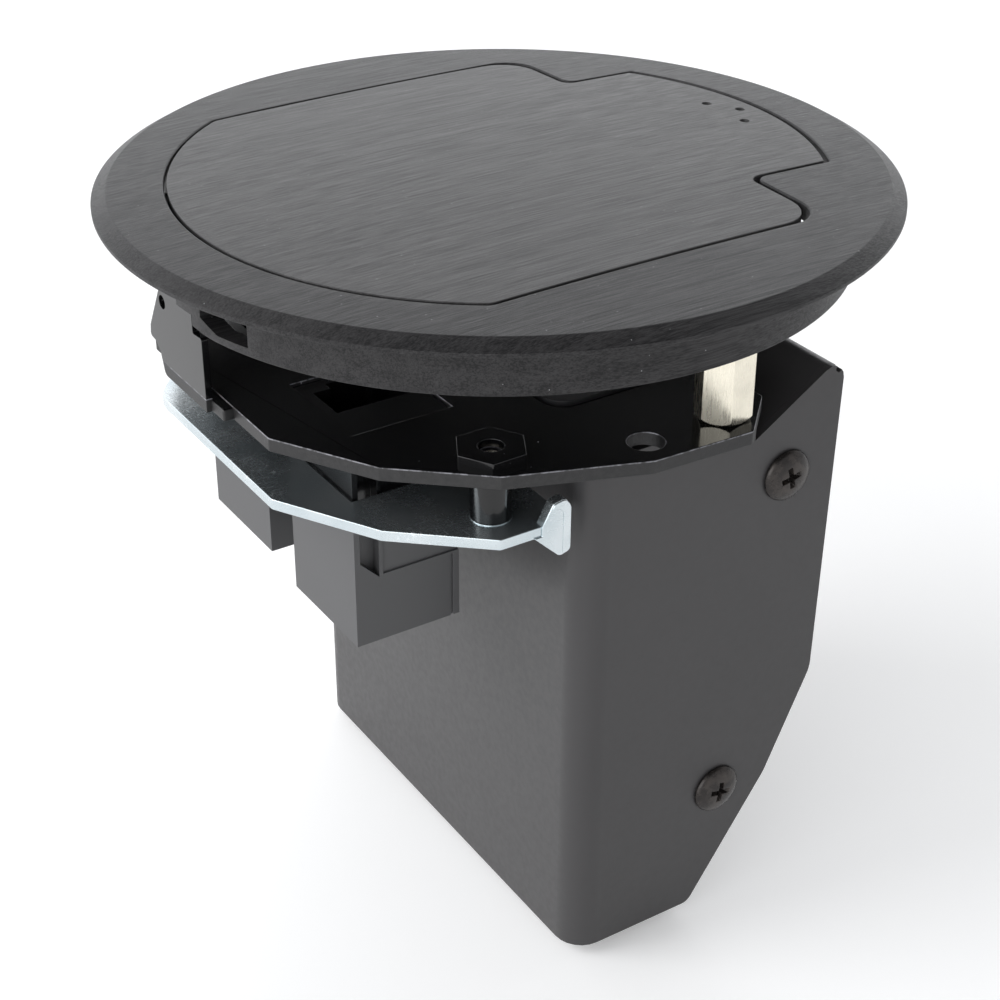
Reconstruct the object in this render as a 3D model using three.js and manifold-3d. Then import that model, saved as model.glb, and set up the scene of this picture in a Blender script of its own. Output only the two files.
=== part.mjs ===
// Desk grommet with a tilting lid: a round bezel drops into a 104.8 mm (4 1/8 inch) hole in a worktop.
// Below it hang a device plate with two power receptacles and two data jacks, a zinc bracket and a wiring box.
// Millimetres. The origin is the centre of the bezel's seat, level with the worktop's surface. +Z is up.
// +X runs along the lid from its tail to its finger tongue. +Y runs towards the back of the wiring box.
import * as THREE from "three";
import { mergeVertices } from "three/addons/utils/BufferGeometryUtils.js";
import Module from "manifold-3d";

const wasm = await Module();
wasm.setup();

// Bezel
const FLANGE_R = 57.15;
const FLANGE_T = 1.9;
const BEVEL_RUN = 2.15;
const BEVEL_DROP = 1.25;
const EDGE_BREAK = 0.15;
const COLLAR_R = 51.0;
const COLLAR_WALL = 2.6;
const COLLAR_H = 8.3;
const COLLAR_IN = COLLAR_R - COLLAR_WALL;
const CROWN = 1.2;

// Lid: a disc cut to a T, with a finger tongue at its +X end
const LID_R = 46.55;
const LID_END_R = 46.45;
const LID_HALF_W = 38.75;
const LID_SHOULDERS = { front: 26.15, back: 27.8 };
const LID_CORNER_R = 5.8;
const TONGUE_HALF_W = 23.5;
const GAP_SIDE = 0.4;
const GAP_SHOULDER = 0.8;
const GAP_END = 0.75;
const LID_Z0 = 0.2;
const LEG_CHAMFER = 0.6;
const DIMPLE_R = 0.8;

// Lid hinge
const PIN_R = 0.8;
const PIN_CLEAR = 0.08;
const PIN_X = 32.5;
const PIN_Z = 0.45;
const PIN_IN = 18.5;
const PIN_OUT = 29.5;
const KNUCKLE_HALF = 2.0;
const EAR_HALF = 2.2;
const KNUCKLE_DEPTH = 1.7;

// Ledge and bumpers under the lid's tail
const LEDGE_R = 44.2;
const LEDGE_Z0 = -2.4;
const LEDGE_Z1 = -1.0;
const LEDGE_HALF_ANGLE = 30;
const SEAT_GAP = 0.05;
const BUMPER_R = 1.5;

// Power receptacles' place and width, and what stands beside them
const OUTLET_X = 0.3;
const OUTLET_W = 22.6;
const OUTLET_ROOM = 1.5;
const LIP_ROOM = 2.8;
const SHEET = 1.2;
const BOX_LEFT = OUTLET_X - OUTLET_W / 2 - OUTLET_ROOM - SHEET;
const LIP_X = OUTLET_X + OUTLET_W / 2 + LIP_ROOM;

// Device plate, a black moulding with an end wall
const PLATE_TOP = -19.85;
const PLATE_T = 2.0;
const PLATE_BOTTOM = PLATE_TOP - PLATE_T;
const PLATE_R = 50.2;
const PLATE_LEFT = -46.7;
const PLATE_OVER_LIP = 0.6;
const PLATE_RIGHT = LIP_X + PLATE_OVER_LIP;
const WALL_OUT = -48.9;
const WALL_IN = -47.9;
const WALL_TOP = -3.4;
const NOTCH_SIDE = -1.3;

// Hexagonal standoffs between the bezel and the device plate
const HEX_AF = 7.0;
const BOLT_R = 44.9;
const STANDOFF_ANGLE = -81.05;
const HEX_TURN = 7.0;
const STUD_R = 1.9;
const BOSS_R = 6.2;
const STUD_UP = 4.0;
const STUD_DOWN = 1.6;

// Zinc-plated bracket under the device plate, and the posts and screws that hold it
const BRACKET_TOP = -29.2;
const BRACKET_T = 1.6;
const BRACKET_BOTTOM = BRACKET_TOP - BRACKET_T;
const BRACKET_TO_BOX = 2.3;
const BRACKET_RIGHT = BOX_LEFT - BRACKET_TO_BOX;
const BRACKET_FRONT = -42.6;
const EAR_T = 1.3;
const EAR_LIP = 0.7;
const COLLAR_RING_H = 0.8;
const POST_X = -24.4;
const POST_Y = 36.7;
const POST_R = 2.8;
const POST_BORE_R = 1.75;
const PAD_AF = 8.8;
const PAD_H = 1.15;
const PAD_TURN = 0.7;
const SCREW_R = 1.45;

// Data jacks
const JACK_XS = { front: -29.55, back: -28.2 };
const JACK_W = 16.5;
const JACK_Y0 = 5.2;
const JACK_Y1 = 23.6;
const JACK_NECK_INSET = 0.8;
const JACK_TOP = PLATE_TOP - 0.4;
const JACK_STEP_Z = -42.2;
const JACK_STEP = 0.35;
const JACK_BOTTOM = -52.8;
const CAP_H = 6.0;
const CAP_INSET = 1.4;
const PORT_W = 11.8;
const PORT_Y0 = 9.1;
const PORT_Y1 = 15.9;
const PORT_DEPTH = 13.0;
const FIT = 0.3;

// Power receptacles, with flat-blade slots and a round earth hole
const OUTLET_L = 27.0;
const OUTLET_TOP = PLATE_TOP + 0.5;
const OUTLET_BOTTOM = -45.0;
const OUTLET_YS = { front: -18.0, back: 11.0 };
const BLADE_SPACING = 12.7;
const BLADE_T = 2.2;
const BLADE_L = 8.0;
const EARTH_R = 2.6;
const EARTH_OFFSET = 11.9;
const SLOT_DEPTH = 17.0;

// Wiring box: a cover bent round the front, left and back, and a body for the rest
const BOX_RIGHT = 29.6;
const KNEE_X = 28.6;
const BOX_FRONT = -42.9;
const BOX_BACK = 34.2;
const BEND_R = 4.5;
const BOX_TOP = PLATE_BOTTOM - FIT;
const RAMP_LOW = -26.6;
const RAMP_HIGH = -16.9;
const KNEE_Z = -69.6;
const HIP_X = 21.2;
const HIP_Z = -86.2;
const TOE_X = 7.9;
const BOX_BOTTOM = -106.2;
const CORNER_R = 2.2;
const FLANGE_W = 12.0;
const COVER_SCREWS = { upper: [20.4, -33.7], lower: [11.8, -85.4] };
const COVER_SCREW_HEAD_R = 3.9;
const BUSH_X = -2.6;
const BUSH_Y = -5.4;
const BUSH_HOLE_R = 6.4;
const BUSH_BORE_R = 4.6;
const BUSH_FLANGE_R = 8.2;

// A polygon with rounded corners, from points [x, y, radius]
function outline(points, steps = 5) {
  const out = [];
  points.forEach(([x, y, r], i) => {
    const p = new THREE.Vector2(x, y);
    if (!r) {
      out.push(p);
      return;
    }
    const [ax, ay] = points[(i + points.length - 1) % points.length];
    const [bx, by] = points[(i + 1) % points.length];
    const a = new THREE.Vector2(ax, ay).sub(p).normalize();
    const b = new THREE.Vector2(bx, by).sub(p).normalize();
    const half = Math.acos(a.dot(b)) / 2;
    const centre = a.clone().add(b).normalize().multiplyScalar(r / Math.sin(half)).add(p);
    const from = a.clone().multiplyScalar(r / Math.tan(half)).add(p).sub(centre);
    const to = b.clone().multiplyScalar(r / Math.tan(half)).add(p).sub(centre);
    let sweep = to.angle() - from.angle();
    if (sweep > Math.PI) sweep -= 2 * Math.PI;
    if (sweep < -Math.PI) sweep += 2 * Math.PI;
    for (let k = 0; k <= steps; k++) {
      out.push(from.clone().rotateAround(new THREE.Vector2(), (sweep * k) / steps).add(centre));
    }
  });
  return out;
}

// Points on an arc about the origin, in degrees
function arc(r, from, to, steps) {
  const out = [];
  for (let k = 0; k <= steps; k++) {
    const t = THREE.MathUtils.degToRad(from + ((to - from) * k) / steps);
    out.push([r * Math.cos(t), r * Math.sin(t), 0]);
  }
  return out;
}

// A three.js geometry as a solid for booleans
function solid(geometry) {
  const g = geometry.clone();
  g.deleteAttribute("normal");
  g.deleteAttribute("uv");
  const merged = mergeVertices(g, 1e-4);
  return new wasm.Manifold(
    new wasm.Mesh({
      numProp: 3,
      vertProperties: merged.attributes.position.array,
      triVerts: new Uint32Array(merged.index.array),
    }),
  );
}

// A solid back as a flat-shaded geometry
function geometryOf(made) {
  const m = made.getMesh();
  const n = m.numProp;
  const v = new Float32Array(m.numVert * 3);
  for (let i = 0; i < m.numVert; i++) v.set(m.vertProperties.subarray(i * n, i * n + 3), i * 3);
  const g = new THREE.BufferGeometry();
  g.setAttribute("position", new THREE.BufferAttribute(v, 3));
  g.setIndex(new THREE.BufferAttribute(m.triVerts, 1));
  const flat = g.toNonIndexed();
  flat.computeVertexNormals();
  return flat;
}

const extrude = (points, depth) =>
  new THREE.ExtrudeGeometry(new THREE.Shape(points), { depth, bevelEnabled: false, curveSegments: 1 });

// Extrusions of an outline along Z, along Y (outline in X, Z) and along X (outline in Y, Z)
const prismZ = (points, z0, z1) => solid(extrude(points, z1 - z0).translate(0, 0, z0));
const prismY = (points, y0, y1) => solid(extrude(points, y1 - y0).rotateX(Math.PI / 2).translate(0, y1, 0));
const ALONG_X = new THREE.Matrix4().makeBasis(
  new THREE.Vector3(0, 1, 0),
  new THREE.Vector3(0, 0, 1),
  new THREE.Vector3(1, 0, 0),
);
const prismX = (points, x0, x1) => solid(extrude(points, x1 - x0).applyMatrix4(ALONG_X).translate(x0, 0, 0));

const block = (x0, x1, y0, y1, z0, z1) =>
  solid(
    new THREE.BoxGeometry(x1 - x0, y1 - y0, z1 - z0).translate((x0 + x1) / 2, (y0 + y1) / 2, (z0 + z1) / 2),
  );
const rodZ = (r, x, y, z0, z1, n = 32) =>
  solid(
    new THREE.CylinderGeometry(r, r, z1 - z0, n).rotateX(Math.PI / 2).translate(x, y, (z0 + z1) / 2),
  );
const rodY = (r, x, z, y0, y1, n = 24) =>
  solid(new THREE.CylinderGeometry(r, r, y1 - y0, n).translate(x, (y0 + y1) / 2, z));
const hexZ = (af, x, y, z0, z1, turn = 0) =>
  rodZ(af / Math.sqrt(3), 0, 0, z0, z1, 6)
    .rotate([0, 0, 30 + turn])
    .translate([x, y, 0]);

// A solid of revolution about Z, from [radius, z] points listed counterclockwise
function turned(profile, segments) {
  const loop = profile.map(([r, z]) => new THREE.Vector2(r, z));
  loop.push(loop[0].clone());
  return solid(new THREE.LatheGeometry(loop, segments).rotateX(Math.PI / 2));
}

// The lid's outline grown by the given gaps
function lidOutline(side, shoulder, end, corner) {
  const r = LID_R + side;
  const w = LID_HALF_W + side;
  const front = LID_SHOULDERS.front + shoulder;
  const back = LID_SHOULDERS.back + shoulder;
  const tw = TONGUE_HALF_W + side;
  const rEnd = LID_END_R + end;
  const tail = THREE.MathUtils.radToDeg(Math.asin(w / r));
  const tip = THREE.MathUtils.radToDeg(Math.asin(tw / rEnd));
  return outline([
    [rEnd * Math.cos(THREE.MathUtils.degToRad(tip)), -tw, 0.6],
    ...arc(rEnd, -tip + 2, tip - 2, 18),
    [rEnd * Math.cos(THREE.MathUtils.degToRad(tip)), tw, 0.6],
    [back, tw, 2.0],
    [back, w, corner],
    [-r * Math.cos(THREE.MathUtils.degToRad(tail)), w, 2.5],
    ...arc(r, 180 - tail + 4, 180 + tail - 4, 40),
    [-r * Math.cos(THREE.MathUtils.degToRad(tail)), -w, 2.5],
    [front, -w, corner],
    [front, -tw, 2.0],
  ]);
}

const polar = (r, degrees) => [
  r * Math.cos(THREE.MathUtils.degToRad(degrees)),
  r * Math.sin(THREE.MathUtils.degToRad(degrees)),
];
const STANDOFF = polar(BOLT_R, STANDOFF_ANGLE);
const SIDES = { front: -1, back: 1 };

// The shallow crown shared by the flange's top and the lid, and everything below it
const crownZ = (r) => FLANGE_T + CROWN * (1 - (r / (FLANGE_R - BEVEL_RUN)) ** 2);
function underCrown() {
  const rings = [FLANGE_R - BEVEL_RUN, 51, 47, 43, 38, 31, 23, 13];
  return turned([[0, -12], [FLANGE_R + 1, -12], [FLANGE_R + 1, FLANGE_T], ...rings.map((r) => [r, crownZ(r)]), [0, crownZ(0)]], 112);
}

// Bezel: bevelled flange, collar, ledge under the lid's tail, hinge ears and standoff bosses
function bezelRing() {
  let made = turned(
    [
      [COLLAR_IN, -COLLAR_H],
      [COLLAR_R, -COLLAR_H],
      [COLLAR_R, 0],
      [FLANGE_R - EDGE_BREAK, 0],
      [FLANGE_R, EDGE_BREAK],
      [FLANGE_R, FLANGE_T - BEVEL_DROP],
      [FLANGE_R - BEVEL_RUN, FLANGE_T],
      [FLANGE_R - BEVEL_RUN, FLANGE_T + CROWN],
      [24.0, FLANGE_T + CROWN],
      [24.0, 0],
      [COLLAR_IN, 0],
    ],
    112,
  ).intersect(underCrown());
  for (const s of Object.values(SIDES)) {
    const boss = rodZ(BOSS_R, STANDOFF[0], s * -STANDOFF[1], -COLLAR_H, 0.5, 40).intersect(
      rodZ(COLLAR_R - 0.6, 0, 0, -COLLAR_H - 1, 1, 96),
    );
    made = made.add(boss);
  }
  const hole = lidOutline(GAP_SIDE, GAP_SHOULDER, GAP_END, LID_CORNER_R - 0.5);
  made = made.subtract(prismZ(hole, -1, FLANGE_T + CROWN + 1));
  const ledge = outline([
    ...arc(COLLAR_IN + 0.8, 180 - LEDGE_HALF_ANGLE, 180 + LEDGE_HALF_ANGLE, 16),
    ...arc(LEDGE_R, 180 + LEDGE_HALF_ANGLE, 180 - LEDGE_HALF_ANGLE, 16),
  ]);
  made = made.add(prismZ(ledge, LEDGE_Z0, LEDGE_Z1));
  for (const s of Object.values(SIDES)) {
    made = made.subtract(
      rodZ(STUD_R + 0.2, STANDOFF[0], s * -STANDOFF[1], -COLLAR_H - 1, -COLLAR_H + STUD_UP + 0.5, 24),
    );
    const y0 = s > 0 ? TONGUE_HALF_W + GAP_SIDE + 0.3 : -PIN_OUT - 1.5;
    const y1 = s > 0 ? PIN_OUT + 1.5 : -TONGUE_HALF_W - GAP_SIDE - 0.3;
    made = made.add(block(PIN_X - EAR_HALF, PIN_X + EAR_HALF, y0, y1, PIN_Z - KNUCKLE_DEPTH, 0.5));
    const hole0 = s > 0 ? TONGUE_HALF_W : -PIN_OUT - 0.2;
    const hole1 = s > 0 ? PIN_OUT + 0.2 : -TONGUE_HALF_W;
    made = made.subtract(rodY(PIN_R + PIN_CLEAR, PIN_X, PIN_Z, hole0, hole1));
  }
  // Notch for the device plate's end wall, and the cable window beside it
  const notch = [
    new THREE.Vector2(15.0, -COLLAR_H - 1),
    new THREE.Vector2(15.0, WALL_TOP + 0.25),
    new THREE.Vector2(NOTCH_SIDE, WALL_TOP + 0.25),
    new THREE.Vector2(NOTCH_SIDE, -6.2),
    new THREE.Vector2(-5.4, -6.2),
    new THREE.Vector2(-5.4, -COLLAR_H + 0.6),
    new THREE.Vector2(-10.6, -COLLAR_H),
    new THREE.Vector2(-10.6, -COLLAR_H - 1),
  ];
  const window = [
    new THREE.Vector2(-16.7, -COLLAR_H + 1.3),
    new THREE.Vector2(-11.0, -COLLAR_H + 1.15),
    new THREE.Vector2(-7.5, -COLLAR_H + 2.5),
    new THREE.Vector2(-7.5, -0.3),
    new THREE.Vector2(-16.7, -0.3),
  ];
  made = made.subtract(prismX(notch, -COLLAR_R - 1, -42.5)).subtract(prismX(window, -COLLAR_R - 1, -42.5));
  return made;
}

// Lid plate, with chamfered shoulders, finger dimples and two hinge knuckles under the tongue
function lidPlate() {
  let made = prismZ(lidOutline(0, 0, 0, LID_CORNER_R), LID_Z0, FLANGE_T + CROWN + 1).intersect(underCrown());
  for (const [where, s] of Object.entries(SIDES)) {
    const shoulder = LID_SHOULDERS[where];
    const y0 = s > 0 ? TONGUE_HALF_W : -LID_HALF_W - 1;
    const y1 = s > 0 ? LID_HALF_W + 1 : -TONGUE_HALF_W;
    const chamfer = [
      new THREE.Vector2(shoulder - LEG_CHAMFER, LID_Z0 - 0.2),
      new THREE.Vector2(shoulder + 1, LID_Z0 - 0.2),
      new THREE.Vector2(shoulder + 1, LID_Z0 + LEG_CHAMFER + 1),
      new THREE.Vector2(shoulder, LID_Z0 + LEG_CHAMFER),
    ];
    made = made.subtract(prismY(chamfer, y0, y1));
    const k0 = s > 0 ? PIN_IN - 1.5 : -TONGUE_HALF_W;
    const k1 = s > 0 ? TONGUE_HALF_W : -PIN_IN + 1.5;
    made = made.add(
      block(PIN_X - KNUCKLE_HALF, PIN_X + KNUCKLE_HALF, k0, k1, PIN_Z - KNUCKLE_DEPTH, LID_Z0 + 0.2),
    );
    const h0 = s > 0 ? PIN_IN - 0.2 : -TONGUE_HALF_W - 1;
    const h1 = s > 0 ? TONGUE_HALF_W + 1 : -PIN_IN + 0.2;
    made = made.subtract(rodY(PIN_R + PIN_CLEAR, PIN_X, PIN_Z, h0, h1));
  }
  const dimples = [
    [40.9, -4.6],
    [40.9, 4.6],
    [43.7, 0],
  ];
  for (const [x, y] of dimples) {
    made = made.subtract(solid(new THREE.SphereGeometry(DIMPLE_R, 20, 12).translate(x, y, crownZ(Math.hypot(x, y)))));
  }
  return made;
}

function hingePin(s) {
  return rodY(PIN_R, PIN_X, PIN_Z, s > 0 ? PIN_IN : -PIN_OUT, s > 0 ? PIN_OUT : -PIN_IN);
}

function lidBumper(s) {
  const [x, y] = polar((LEDGE_R + LID_R) / 2, 180 - s * 20);
  return rodZ(BUMPER_R, x, y, LEDGE_Z1 + SEAT_GAP, LID_Z0 - SEAT_GAP, 24);
}

// Hexagonal standoff with a stud at each end
function standoff(s) {
  const [x, y] = [STANDOFF[0], s * -STANDOFF[1]];
  return hexZ(HEX_AF, x, y, PLATE_TOP + SEAT_GAP, -COLLAR_H - SEAT_GAP, HEX_TURN)
    .add(rodZ(STUD_R, x, y, -COLLAR_H - 1, -COLLAR_H + STUD_UP, 24))
    .add(rodZ(STUD_R, x, y, PLATE_TOP - STUD_DOWN, PLATE_TOP + 1, 24));
}

// Half of the device plate's faceted edge, front side first
const PLATE_EDGE = [
  [PLATE_LEFT, -17.9, 0.8],
  [...polar(PLATE_R, 220.1), 0.8],
  [...polar(PLATE_R, 238.0), 0.8],
  [...polar(PLATE_R, 261.0), 0.8],
  [...polar(PLATE_R + 0.5, 278.7), 0.8],
  [PLATE_RIGHT, -42.9, 0.8],
];
const mirrored = (points) => points.map(([x, y, r]) => [x, -y, r]).reverse();

// Device plate: faceted plate, end wall, hexagonal pads with hollow posts, openings for jacks and outlets
function devicePlate() {
  let made = prismZ(outline([...PLATE_EDGE, ...mirrored(PLATE_EDGE)]), PLATE_BOTTOM, PLATE_TOP);
  const wall = outline([
    [-3.7, PLATE_BOTTOM, 0],
    [9.8, PLATE_BOTTOM, 1.0],
    [10.9, PLATE_BOTTOM + 3.2, 0.8],
    [12.0, -17.5, 0.6],
    [14.0, -17.3, 0.6],
    [13.7, -15.5, 0.6],
    [9.6, -8.5, 0.6],
    [9.2, WALL_TOP, 0.4],
    [NOTCH_SIDE + FIT, WALL_TOP, 0.4],
    [NOTCH_SIDE + FIT, -11.1, 0.3],
    [-3.7, -10.8, 0.4],
  ]);
  made = made.add(prismX(wall, WALL_OUT, WALL_IN));
  made = made.add(block(WALL_IN - 0.3, PLATE_LEFT + 1.0, -7.5, 9.0, PLATE_BOTTOM, PLATE_TOP - 0.2));
  made = made.subtract(
    solid(
      new THREE.CylinderGeometry(1.0, 1.0, 6, 20).rotateZ(Math.PI / 2).translate(WALL_OUT, 8.8, -10.3),
    ),
  );
  for (const [where, s] of Object.entries(SIDES)) {
    made = made.add(hexZ(PAD_AF, POST_X, s * POST_Y, PLATE_TOP - 0.5, PLATE_TOP + PAD_H, PAD_TURN));
    made = made.add(
      rodZ(POST_R, POST_X, s * POST_Y, BRACKET_TOP + COLLAR_RING_H + SEAT_GAP, PLATE_BOTTOM + 0.5),
    );
    made = made.subtract(rodZ(POST_BORE_R, POST_X, s * POST_Y, BRACKET_TOP - 1, PLATE_TOP + 2, 24));
    made = made.subtract(rodZ(2.55, -5.8, s * 44.8, PLATE_BOTTOM - 1, PLATE_TOP + 1));
    made = made.subtract(
      rodZ(STUD_R + 0.2, STANDOFF[0], s * -STANDOFF[1], PLATE_TOP - STUD_DOWN - 0.1, PLATE_TOP + 1, 24),
    );
    const inset = JACK_NECK_INSET - FIT;
    const y0 = s > 0 ? JACK_Y0 + inset : -JACK_Y1 + inset;
    const y1 = s > 0 ? JACK_Y1 - inset : -JACK_Y0 - inset;
    const half = JACK_W / 2 - inset;
    const x = JACK_XS[where];
    made = made.subtract(block(x - half, x + half, y0, y1, PLATE_BOTTOM - 1, PLATE_TOP + 1));
  }
  for (const y of Object.values(OUTLET_YS)) {
    made = made.subtract(prismZ(outletOutline(y, 0), PLATE_BOTTOM - 1, PLATE_TOP + 1));
  }
  return made;
}

// Zinc bracket: flat plate under the device plate, with windows for the jacks, a raised ring round each
// screw hole, and an upright ear in line with its edge at the box's corner
function bracketPlate() {
  const edge = [
    [PLATE_LEFT, -17.6, 0.8],
    [...polar(PLATE_R, 220.1), 0.8],
    [...polar(PLATE_R, 238.0), 0.8],
    [-20.0, BRACKET_FRONT, 0.8],
    [BRACKET_RIGHT, BRACKET_FRONT, 0.4],
    [BRACKET_RIGHT, 33.5, 0.8],
    [-25.5, 41.8, 3.0],
    [-31.5, 36.5, 4.0],
    [PLATE_LEFT, 18.0, 5.0],
  ];
  let made = prismZ(outline(edge), BRACKET_BOTTOM, BRACKET_TOP);
  const ear = outline([
    [BRACKET_RIGHT - 5.6, BRACKET_BOTTOM + 0.2, 0],
    [BRACKET_RIGHT - 1.6, BRACKET_BOTTOM - 3.7, 0.9],
    [BRACKET_RIGHT, BRACKET_BOTTOM - 3.1, 1.0],
    [BRACKET_RIGHT, BRACKET_TOP + 2.2, 1.6],
    [BRACKET_RIGHT - 0.9, BRACKET_TOP + 3.4, 1.0],
    [BRACKET_RIGHT - 2.7, BRACKET_TOP + 3.1, 0.8],
    [BRACKET_RIGHT - 4.4, BRACKET_TOP, 0],
    [BRACKET_RIGHT - 4.4, BRACKET_BOTTOM + 0.2, 0],
  ]);
  made = made.add(prismY(ear, BRACKET_FRONT - 0.3, BRACKET_FRONT + EAR_T));
  const lip = outline([
    [BRACKET_RIGHT - 1.3, BRACKET_BOTTOM - 3.1, 0.5],
    [BRACKET_RIGHT, BRACKET_BOTTOM - 2.8, 0.8],
    [BRACKET_RIGHT, BRACKET_TOP + 1.8, 0.8],
    [BRACKET_RIGHT - 1.3, BRACKET_TOP + 2.7, 0.5],
  ]);
  made = made.add(prismY(lip, BRACKET_FRONT - EAR_LIP, BRACKET_FRONT + EAR_T));
  const tab = BRACKET_BOTTOM - 6.5;
  made = made.add(block(BRACKET_RIGHT - SHEET, BRACKET_RIGHT, -4.0, 12.0, tab, BRACKET_TOP));
  for (const [where, s] of Object.entries(SIDES)) {
    const y0 = s > 0 ? JACK_Y0 - FIT : -JACK_Y1 - FIT;
    const y1 = s > 0 ? JACK_Y1 + FIT : -JACK_Y0 + FIT;
    const x = JACK_XS[where];
    const half = JACK_W / 2 + FIT;
    made = made.subtract(block(x - half, x + half, y0, y1, BRACKET_BOTTOM - 1, BRACKET_TOP + 1));
    made = made.add(rodZ(POST_R, POST_X, s * POST_Y, BRACKET_TOP - 0.5, BRACKET_TOP + COLLAR_RING_H));
    made = made.subtract(rodZ(SCREW_R + 0.2, POST_X, s * POST_Y, BRACKET_BOTTOM - 1, BRACKET_TOP + 2, 24));
  }
  return made;
}

// Screw from below, through the bracket into the device plate's post
function bracketScrew(s) {
  const y = s * POST_Y;
  const head = rodZ(2.8, POST_X, y, BRACKET_BOTTOM - SEAT_GAP - 1.8, BRACKET_BOTTOM - SEAT_GAP, 28);
  const shank = rodZ(SCREW_R, POST_X, y, BRACKET_BOTTOM - 1, PLATE_TOP - 0.3, 24);
  const bar = (w, d) => block(POST_X - w, POST_X + w, y - d, y + d, BRACKET_BOTTOM - 3, BRACKET_BOTTOM - 1.0);
  return head.add(shank).subtract(bar(1.5, 0.35)).subtract(bar(0.35, 1.5));
}

// Data jack housing: a block under the plate, a neck through it, a plug port from above, a latch groove and
// a shallow step on its outer face, and a pocket below for the termination cap
function jackHousing(where, s) {
  const x = JACK_XS[where];
  const span = (a, b) => (s > 0 ? [a, b] : [-b, -a]);
  const [x0, x1] = [x - JACK_W / 2, x + JACK_W / 2];
  const neck = span(JACK_Y0 + JACK_NECK_INSET, JACK_Y1 - JACK_NECK_INSET);
  const port = PORT_W / 2;
  const floor = JACK_TOP - PORT_DEPTH;
  const low = JACK_STEP_Z - 0.3;
  const groove = [
    new THREE.Vector2(x0 + 0.9, PLATE_BOTTOM),
    new THREE.Vector2(x0 + 0.9, JACK_STEP_Z + 2.6),
    new THREE.Vector2(x0 + 3.8, low),
    new THREE.Vector2(x0 + 3.8, PLATE_BOTTOM),
  ];
  return block(x0, x1, ...span(JACK_Y0, JACK_Y1), JACK_BOTTOM, PLATE_BOTTOM - FIT)
    .add(block(x0 + JACK_NECK_INSET, x1 - JACK_NECK_INSET, ...neck, JACK_STEP_Z, JACK_TOP))
    .subtract(block(x - port, x + port, ...span(PORT_Y0, PORT_Y1), floor, JACK_TOP + 1))
    .subtract(block(x - 3.2, x + 3.2, ...span(PORT_Y0 - 1.5, PORT_Y0 + 0.5), floor, JACK_TOP + 1))
    .subtract(prismY(groove, ...span(JACK_Y1 - 1.8, JACK_Y1 + 1)))
    .subtract(block(x0 + 4.4, x1 + 1, ...span(JACK_Y1 - JACK_STEP, JACK_Y1 + 1), JACK_STEP_Z, PLATE_BOTTOM + 1))
    .subtract(block(x1 - 1.4, x1 - 1.0, ...span(JACK_Y1 - 0.3, JACK_Y1 + 1), JACK_BOTTOM - 1, JACK_STEP_Z - 0.4))
    .subtract(
      block(
        x0 + CAP_INSET,
        x1 - CAP_INSET,
        ...span(JACK_Y0 + CAP_INSET, JACK_Y1 - CAP_INSET),
        JACK_BOTTOM - 1,
        JACK_BOTTOM + CAP_H,
      ),
    );
}

// Termination cap in the pocket under the housing, with four slots for the wires
function jackCap(where, s) {
  const x = JACK_XS[where];
  const inset = CAP_INSET + 0.15;
  const [y0, y1] = s > 0 ? [JACK_Y0 + inset, JACK_Y1 - inset] : [-JACK_Y1 + inset, -JACK_Y0 - inset];
  const half = JACK_W / 2 - inset;
  let made = block(x - half, x + half, y0, y1, JACK_BOTTOM - 0.3, JACK_BOTTOM + CAP_H - SEAT_GAP);
  for (let i = 0; i < 4; i++) {
    const slot = x - 4.5 + i * 3.0;
    made = made.subtract(block(slot - 0.5, slot + 0.5, y0 + 2.5, y1 - 2.5, JACK_BOTTOM - 1, JACK_BOTTOM + 4));
  }
  return made;
}

// Contact comb on the port's outer wall: eight sprung wires on one carrier
function jackContacts(where, s) {
  const middle = JACK_XS[where];
  const wall = PORT_Y1 - 0.1;
  const floor = JACK_TOP - PORT_DEPTH + 0.1;
  const span = (a, b) => (s > 0 ? [a, b] : [-b, -a]);
  let made = block(middle - 5.2, middle + 5.2, ...span(wall - 1.0, wall), floor, floor + 2.2);
  for (let i = 0; i < 8; i++) {
    const x = middle - 3.57 + i * 1.02;
    const wire = [
      new THREE.Vector2(s * (wall - 0.2), floor + 1.6),
      new THREE.Vector2(s * (wall - 0.8), floor + 1.6),
      new THREE.Vector2(s * (wall - 2.2), floor + 9.4),
      new THREE.Vector2(s * (wall - 1.7), floor + 9.6),
    ];
    if (s > 0) wire.reverse();
    made = made.add(prismX(wire, x - 0.22, x + 0.22));
  }
  return made;
}

// Outlet face outline: a rectangle with rounded ends, grown by a gap
function outletOutline(y, grow) {
  const hx = OUTLET_W / 2 + grow;
  const hy = OUTLET_L / 2 + grow;
  return outline(
    [
      [OUTLET_X - hx, y - hy, 3.5],
      [OUTLET_X + hx, y - hy, 3.5],
      [OUTLET_X + hx, y + hy, 3.5],
      [OUTLET_X - hx, y + hy, 3.5],
    ],
    6,
  );
}

const bladeAt = { live: [BLADE_SPACING / 2, 6.6], neutral: [-BLADE_SPACING / 2, BLADE_L] };
const bladeY = (y) => y + EARTH_OFFSET / 2 - 1.2;
const earthY = (y) => y - EARTH_OFFSET / 2 - 1.2;

function outletBody(y) {
  let made = prismZ(outletOutline(y, -FIT), OUTLET_BOTTOM, OUTLET_TOP);
  for (const [x, length] of Object.values(bladeAt)) {
    const [h, l] = [BLADE_T / 2, length / 2];
    const top = OUTLET_TOP + 1;
    made = made.subtract(
      block(OUTLET_X + x - h, OUTLET_X + x + h, bladeY(y) - l, bladeY(y) + l, OUTLET_TOP - SLOT_DEPTH, top),
    );
  }
  return made.subtract(rodZ(EARTH_R, OUTLET_X, earthY(y), OUTLET_TOP - SLOT_DEPTH, OUTLET_TOP + 1, 28));
}

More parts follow.
